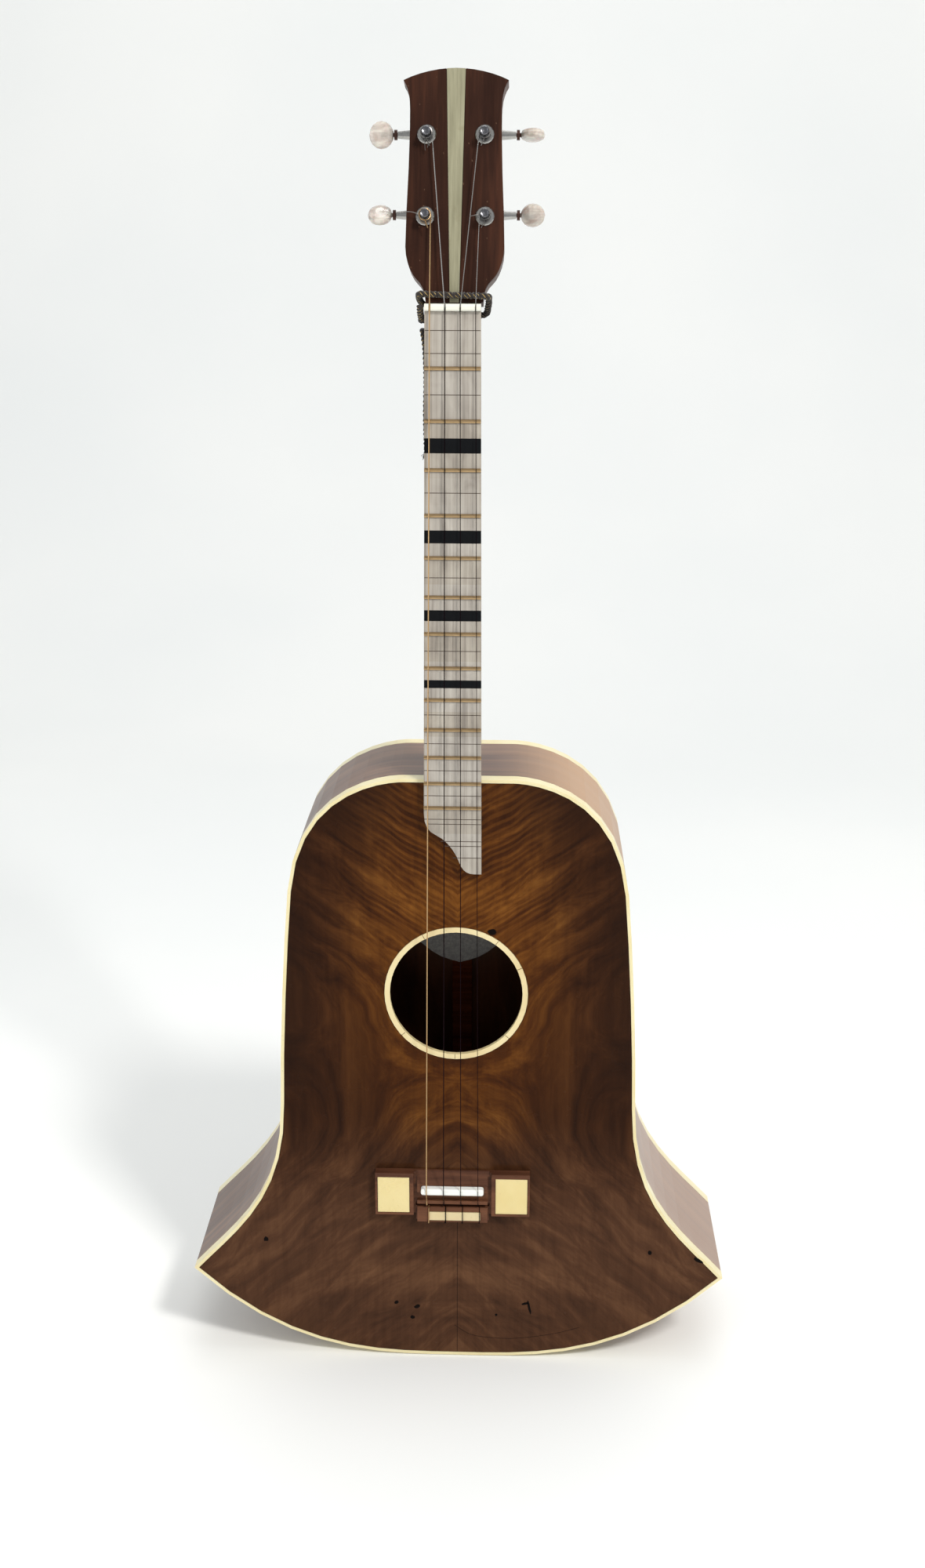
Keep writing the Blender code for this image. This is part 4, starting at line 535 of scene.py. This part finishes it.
def link(name, data):
    """A new object of the scene, with the data given."""
    made = bpy.data.objects.new(name, data)
    bpy.context.scene.collection.objects.link(made)
    return made


def piece(name, mesh, looks):
    """A piece that rides the guitar's body."""
    for look in looks:
        mesh.materials.append(look)
    made = link(name, mesh)
    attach(made, BODY)
    return made


def mesh_from(name, shape, smooth=False):
    """A mesh of the shape, which is freed, with its faces turned outwards."""
    bmesh.ops.recalc_face_normals(shape, faces=shape.faces)
    mesh = bpy.data.meshes.new(name)
    shape.to_mesh(mesh)
    shape.free()
    if smooth:
        mesh.shade_smooth()
        mesh.set_sharp_from_angle(angle=math.radians(40))
    return mesh


def bar(shape, low, high):
    """A box between two corners."""
    size = [b - a for a, b in zip(low, high)]
    middle = [(a + b) / 2 for a, b in zip(low, high)]
    bmesh.ops.create_cube(
        shape, size=1, matrix=Matrix.Translation(middle) @ Matrix.Diagonal((*size, 1))
    )


def fret_at(number):
    """A fret's distance below the nut."""
    return SCALE_LENGTH * (1 - 2 ** (-number / 12))


def tile_seams():
    """Thin dark glue lines between the tiles: one in a fret space that has no band, two in
    the first space, and a few across the cut-back end."""
    shape = bmesh.new()
    places = []
    spaces = FRET_COUNT + 2  # the tiles go on below the last fret
    for number in range(1, spaces + 1):
        middle = (fret_at(number) + fret_at(number - 1)) / 2
        if number == 1:
            places += [middle * share for share in FIRST_SEAMS]
        elif number not in BAND_FRETS:
            places.append(middle)
    for down in (*places, *END_SEAMS):
        half = (NUT_WIDTH + WIDENING * down) / 2 - SEAM_INSET
        start = CUT_X + (down - CUT_MIDDLE) * CUT_LEAN if down > CUT_FROM else -half
        low = (start, -PROUD, -down - SEAM_WIDE / 2)
        bar(shape, low, (half, SEAM_DEEP, -down + SEAM_WIDE / 2))
    look = dull_look("tile_seam", srgb(78, 66, 58))
    piece("tile_seams", mesh_from("tile_seams", shape), [look])


def ring_joints():
    """Dark joints between the ring's segments."""
    shape = bmesh.new()
    depth = JOINT_DEEP / 2 - 0.0001  # of a joint's middle, so that it stands just proud
    for turn in JOINT_TURNS:
        place = (
            Matrix.Translation((HOLE[0], TOP_Y, HOLE[1]))
            @ Matrix.Rotation(-math.radians(turn), 4, "Y")
            @ Matrix.Translation(((RING_OUTER + RING_INNER) / 2, depth, 0))
        )
        size = Matrix.Diagonal((RING_OUTER - RING_INNER - 0.0003, JOINT_DEEP, JOINT_WIDE, 1))
        bmesh.ops.create_cube(shape, size=1, matrix=place @ size)
    look = dull_look("ring_joint", srgb(92, 70, 44))
    piece("ring_joints", mesh_from("ring_joints", shape), [look])


def pit(shape, x, z, wide, high, turn):
    """A small ragged hole: a plug painted near-black as the hole's shade, its face just proud of
    the soundboard.
    """
    rim = []
    for step in range(PIT_SIDES):
        angle = 2 * math.pi * step / PIT_SIDES
        wobble = 1 + random.uniform(-PIT_RAGGED, PIT_RAGGED)
        a, b = wide * wobble * math.cos(angle), high * wobble * math.sin(angle)
        u = a * math.cos(turn) - b * math.sin(turn)
        v = a * math.sin(turn) + b * math.cos(turn)
        rim.append(shape.verts.new((x + u, TOP_Y - PIT_PROUD, z + v)))
    base = [shape.verts.new((vert.co.x, TOP_Y + PIT_DEEP, vert.co.z)) for vert in rim]
    shape.faces.new(rim)
    shape.faces.new(base)
    for i in range(PIT_SIDES):
        j = (i + 1) % PIT_SIDES
        shape.faces.new((rim[i], rim[j], base[j], base[i]))


def worm_holes():
    """Nail and worm holes in the old boards, their dark insides painted as shade."""
    shape = bmesh.new()
    holes = (  # x, z, half width, half height, turn
        (-0.1313, -0.6318, 0.0016, 0.0017, 0.0), (-0.0400, -0.6813, 0.0012, 0.0013, 0.0),
        (-0.0254, -0.6842, 0.0021, 0.0012, 0.4), (-0.0285, -0.6933, 0.0013, 0.0013, 0.0),
        (0.1379, -0.6369, 0.0015, 0.0017, 0.0), (0.1718, -0.6420, 0.0034, 0.0012, -0.6),
        (0.0309, -0.6899, 0.0009, 0.0009, 0.0), (0.0542, -0.6835, 0.0008, 0.0045, 0.2),
        (0.0515, -0.6802, 0.0022, 0.0008, 0.3), (0.0262, -0.3962, 0.0026, 0.0018, 0.2),
    )
    for x, z, wide, high, turn in holes:
        pit(shape, x, z, wide * PIT_SCALE, high * PIT_SCALE, turn)
    # painted shade: each hole's dark inside is a near-black plug
    look = dull_look("painted_hole_shade", srgb(14, 8, 6))
    piece("worm_holes", mesh_from("worm_holes", shape), [look])


def crack():
    """A fine curved check in the lower boards, its dark split drawn as a line of painted shade."""
    route = [
        (0.0012, -0.6990), (0.0120, -0.7062), (0.0260, -0.7088), (0.0450, -0.7090),
        (0.0700, -0.7050), (0.0900, -0.6990),
    ]
    shape = bmesh.new()
    points = smooth_route([(x, TOP_Y + PROUD, z) for x, z in route], 6)
    add_tube(shape, points, radius=0.00018, sides=5)
    # painted shade: the split's dark inside is a thin dark tube
    look = dull_look("painted_check_shade", srgb(26, 15, 11))
    piece("board_check", mesh_from("board_check", shape), [look])


def label():
    """A bare paper label with a blunt point, pasted inside the back."""
    loop = [(-0.0320, -0.4050), (-0.0335, -0.4310), (-0.0290, -0.4420)]
    steps = 8
    for step in range(steps + 1):
        share = step / steps
        bow = 1 - (2 * share - 1) ** 2
        point = 0.0010 if step == steps // 2 else 0
        loop.append((-0.0250 + 0.0530 * share, -0.4450 - 0.0130 * bow - point))
    loop += [(0.0320, -0.4420), (0.0365, -0.4310), (0.0350, -0.4050)]
    shape = bmesh.new()
    verts = []
    for x, z in loop:
        inner = BACK_Y - BACK_SLOPE * (z - BODY_TOP_Z) - BACK_THICK - LABEL_LIFT
        verts.append(shape.verts.new((x, inner, z)))
    face = shape.faces.new(verts)
    moved = bmesh.ops.extrude_face_region(shape, geom=[face])["geom"]
    for vertex in (item for item in moved if isinstance(item, bmesh.types.BMVert)):
        vertex.co.y += LABEL_THICK
    piece("label", mesh_from("label", shape), [paper_look()])


def screws():
    """A small pan-head screw in each tuner's lug."""
    look = metal_look("screw_steel", srgb(170, 168, 164), 0.25)
    upright = Matrix.Rotation(-math.pi / 2, 4, "X")
    for number, (x, high) in enumerate(POSTS, 1):
        shape = bmesh.new()
        for radius, tip, start, end in SCREW_CONES:
            middle = Vector((x, LUG_FACE + (start + end) / 2, high - SCREW_BELOW))
            bmesh.ops.create_cone(
                shape, cap_ends=True, segments=16, radius1=radius, radius2=tip,
                depth=end - start, matrix=HEAD_FRAME @ Matrix.Translation(middle) @ upright,
            )
        piece(f"lug_screw_{number}", mesh_from("lug_screw", shape, True), [look])


# Cord


def smooth_route(route, steps):
    """A smooth curve through the route's points."""
    knots = [Vector(place) for place in route]
    slopes = [(b - a) / 2 for a, b in zip(knots, knots[2:])]
    slopes = [knots[1] - knots[0]] + slopes + [knots[-1] - knots[-2]]
    points = []
    for i in range(len(knots) - 1):
        run = interpolate_bezier(
            knots[i], knots[i] + slopes[i] / 3, knots[i + 1] - slopes[i + 1] / 3, knots[i + 1],
            steps + 1,
        )
        points += run[:-1]
    return points + [knots[-1]]


def frames_along(points):
    """Two directions square to the path at each point, carried along without twist."""
    made = []
    side = None
    for i, point in enumerate(points):
        run = (points[min(i + 1, len(points) - 1)] - points[max(i - 1, 0)]).normalized()
        if side is None:
            side = run.orthogonal().normalized()
        side = (side - run * side.dot(run)).normalized()
        made.append((side.copy(), run.cross(side)))
    return made


def add_tube(shape, points, radius, sides):
    """A closed round tube along the points."""
    turns = [2 * math.pi * k / sides for k in range(sides)]
    rings = [
        [
            shape.verts.new(point + radius * (a * math.cos(turn) + b * math.sin(turn)))
            for turn in turns
        ]
        for point, (a, b) in zip(points, frames_along(points))
    ]
    for ring, following in zip(rings, rings[1:]):
        for i in range(sides):
            j = (i + 1) % sides
            shape.faces.new((ring[i], ring[j], following[j], following[i]))
    shape.faces.new(rings[0])
    shape.faces.new(rings[-1])


def cord_piece(name, node, route, looks):
    """A cord of three twisted yarns, with gold flecks in the grooves between them."""
    points = smooth_route(route, 12)
    travel = [0.0]
    for a, b in zip(points, points[1:]):
        travel.append(travel[-1] + (b - a).length)
    shape = bmesh.new()
    rings = []
    for point, (a, b), along in zip(points, frames_along(points), travel):
        twist = 2 * math.pi * along / TWIST_PITCH
        ring = []
        for k in range(CORD_SIDES):
            turn = 2 * math.pi * k / CORD_SIDES
            lobe = math.cos(YARNS * turn)
            turn += twist
            reach = CORD_RADIUS * (1 - LOBE_DEPTH + LOBE_DEPTH * lobe)
            ring.append(shape.verts.new(point + reach * (a * math.cos(turn) + b * math.sin(turn))))
        rings.append(ring)
    for row, (ring, following) in enumerate(zip(rings, rings[1:])):
        for k in range(CORD_SIDES):
            j = (k + 1) % CORD_SIDES
            face = shape.faces.new((ring[k], ring[j], following[j], following[k]))
            groove = k % (CORD_SIDES // YARNS) == CORD_SIDES // (2 * YARNS)
            face.material_index = 1 if groove and row % 3 else 0
    shape.faces.new(rings[0])
    shape.faces.new(rings[-1])
    made = piece(name, mesh_from(name, shape, True), looks)
    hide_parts(node)


def frayed_end(look):
    """Loose threads at the cord's cut end."""
    shape = bmesh.new()
    end = Vector(TAIL_ROUTE[-1])
    for _ in range(THREADS):
        drift = Vector((
            random.uniform(-1, 1), random.uniform(-1, 0.6), random.uniform(-1.8, -0.4)
        ))
        root = end + Vector((random.uniform(-1, 1), random.uniform(-1, 1), 0.4)) * 0.0011
        thread = [root + drift * (0.0012 * step) for step in range(4)]
        add_tube(shape, thread, radius=0.00016, sides=4)
    return piece("frayed_end", mesh_from("frayed_end", shape), [look])


def strap_cord():
    """The wrap round the neck, and the tail that hangs behind it with a frayed end."""
    looks = (
        yarn_look("cord_yarn", srgb(22, 16, 14), srgb(52, 40, 32)),
        yarn_look("cord_gold", srgb(150, 120, 60), srgb(212, 184, 116)),
    )
    cord_piece("strap_cord", "strap_cord_wrap", WRAP_ROUTE, looks)
    fray = frayed_end(looks[0])
    cord_piece("strap_cord_end", "strap_cord_tail", TAIL_ROUTE, looks)


def string_ends():
    """Cut ends left over at three of the posts, in the headstock's own directions."""
    ends = (
        ((-0.0176, -0.0052, 0.0931), (-0.0178, -0.0050, 0.0898), (-0.0176, -0.0044, 0.0862)),
        ((-0.0160, -0.0046, 0.0931), (-0.0158, -0.0050, 0.0900), (-0.0162, -0.0048, 0.0876)),
        ((-0.0202, -0.0036, 0.0496), (-0.0260, -0.0040, 0.0512), (-0.0318, -0.0036, 0.0508)),
        ((0.0150, -0.0040, 0.0500), (0.0118, -0.0046, 0.0492), (0.0088, -0.0044, 0.0486)),
    )
    shape = bmesh.new()
    for end in ends:
        points = [HEAD_FRAME @ point for point in smooth_route(end, 5)]
        add_tube(shape, points, radius=0.00020, sides=6)
    look = metal_look("string_end", srgb(120, 116, 112), 0.3)
    piece("string_ends", mesh_from("string_ends", shape, True), [look])


# Stage


def floor():
    """Pale sweep: a floor that curves up into a far wall."""
    shape = bmesh.new()
    profile = [(FLOOR_FRONT, 0.0), (SWEEP_START, 0.0)]
    for step in range(1, SWEEP_STEPS + 1):
        turn = math.pi / 2 * step / SWEEP_STEPS
        rise = SWEEP_RADIUS * (1 - math.cos(turn))
        profile.append((SWEEP_START + SWEEP_RADIUS * math.sin(turn), rise))
    profile.append((SWEEP_START + SWEEP_RADIUS, WALL_HIGH))
    rows = [
        [shape.verts.new((x, y, FLOOR_Z + z)) for x in (-FLOOR_HALF, FLOOR_HALF)]
        for y, z in profile
    ]
    for row, following in zip(rows, rows[1:]):
        shape.faces.new((row[0], row[1], following[1], following[0]))
    mesh = mesh_from("floor", shape, True)
    g = Graph("floor_paper")
    cloud = g.noise(g.place, 1.2, 3.0)
    g.done(g.mix(g.step(cloud, 0.3, 0.7), (0.90, 0.91, 0.90), (0.95, 0.95, 0.93)), 0.85)
    mesh.materials.append(g.material)
    made = link("floor", mesh)


def area_light(name, place, aim, size, power, colour=(1, 1, 1)):
    data = bpy.data.lights.new(name, "AREA")
    data.shape = "RECTANGLE"
    data.size, data.size_y = size
    data.energy = power
    data.color = colour
    made = link(name, data)
    made.location = place
    made.rotation_euler = (Vector(aim) - Vector(place)).to_track_quat("-Z", "Y").to_euler()


def lights():
    """Key from the upper right front as in the photograph, with a pale world round it."""
    middle = (0, 0, -0.35)
    area_light("key", (1.1, -1.5, 1.5), middle, (0.35, 0.45), 44, (1.0, 0.98, 0.95))
    area_light("fill", (-1.9, -1.3, 0.6), middle, (1.4, 1.6), 12, (0.95, 0.98, 1.0))
    area_light("top", (0.2, 0.3, 2.1), middle, (1.6, 1.2), 18)
    area_light("wall", (0, 0.7, 1.5), (0, 2.6, 0.4), (3.0, 0.8), 5)
    world = bpy.data.worlds.new("studio")
    bpy.context.scene.world = world
    world.use_nodes = True
    tree = world.node_tree
    ground = tree.nodes["Background"]
    ground.inputs["Color"].default_value = (0.95, 0.98, 1.0, 1.0)
    ground.inputs["Strength"].default_value = 0.5
    shown = tree.nodes.new("ShaderNodeBackground")
    shown.inputs["Color"].default_value = (0.96, 0.97, 0.96, 1.0)
    shown.inputs["Strength"].default_value = 1.0
    rays = tree.nodes.new("ShaderNodeLightPath")
    choose = tree.nodes.new("ShaderNodeMixShader")
    tree.links.new(rays.outputs["Is Camera Ray"], choose.inputs[0])
    tree.links.new(ground.outputs[0], choose.inputs[1])
    tree.links.new(shown.outputs[0], choose.inputs[2])
    tree.links.new(choose.outputs[0], tree.nodes["World Output"].inputs["Surface"])


def camera():
    """The photograph's viewpoint, fitted to the frets, the bridge and the outline."""
    pitch, yaw, roll = CAMERA_PITCH, CAMERA_YAW, CAMERA_ROLL
    forward = Vector((
        math.sin(yaw) * math.cos(pitch), math.cos(yaw) * math.cos(pitch), math.sin(pitch)
    ))
    level = Vector((math.cos(yaw), -math.sin(yaw), 0))
    upward = level.cross(forward)
    right = math.cos(roll) * level + math.sin(roll) * upward
    top = -math.sin(roll) * level + math.cos(roll) * upward
    data = bpy.data.cameras.new("camera")
    data.sensor_fit = "VERTICAL"
    data.sensor_height = 36.0
    data.lens = data.sensor_height * FOCAL_SHARE
    made = link("camera", data)
    made.matrix_world = Matrix((
        (right.x, top.x, -forward.x, CAMERA_AT.x),
        (right.y, top.y, -forward.y, CAMERA_AT.y),
        (right.z, top.z, -forward.z, CAMERA_AT.z),
        (0, 0, 0, 1),
    ))
    bpy.context.scene.camera = made


camera()
strap_cord()
bpy.context.scene.view_settings.view_transform = "Standard"
dress_nodes()
tile_seams()
ring_joints()
worm_holes()
crack()
label()
screws()
string_ends()
floor()
lights()
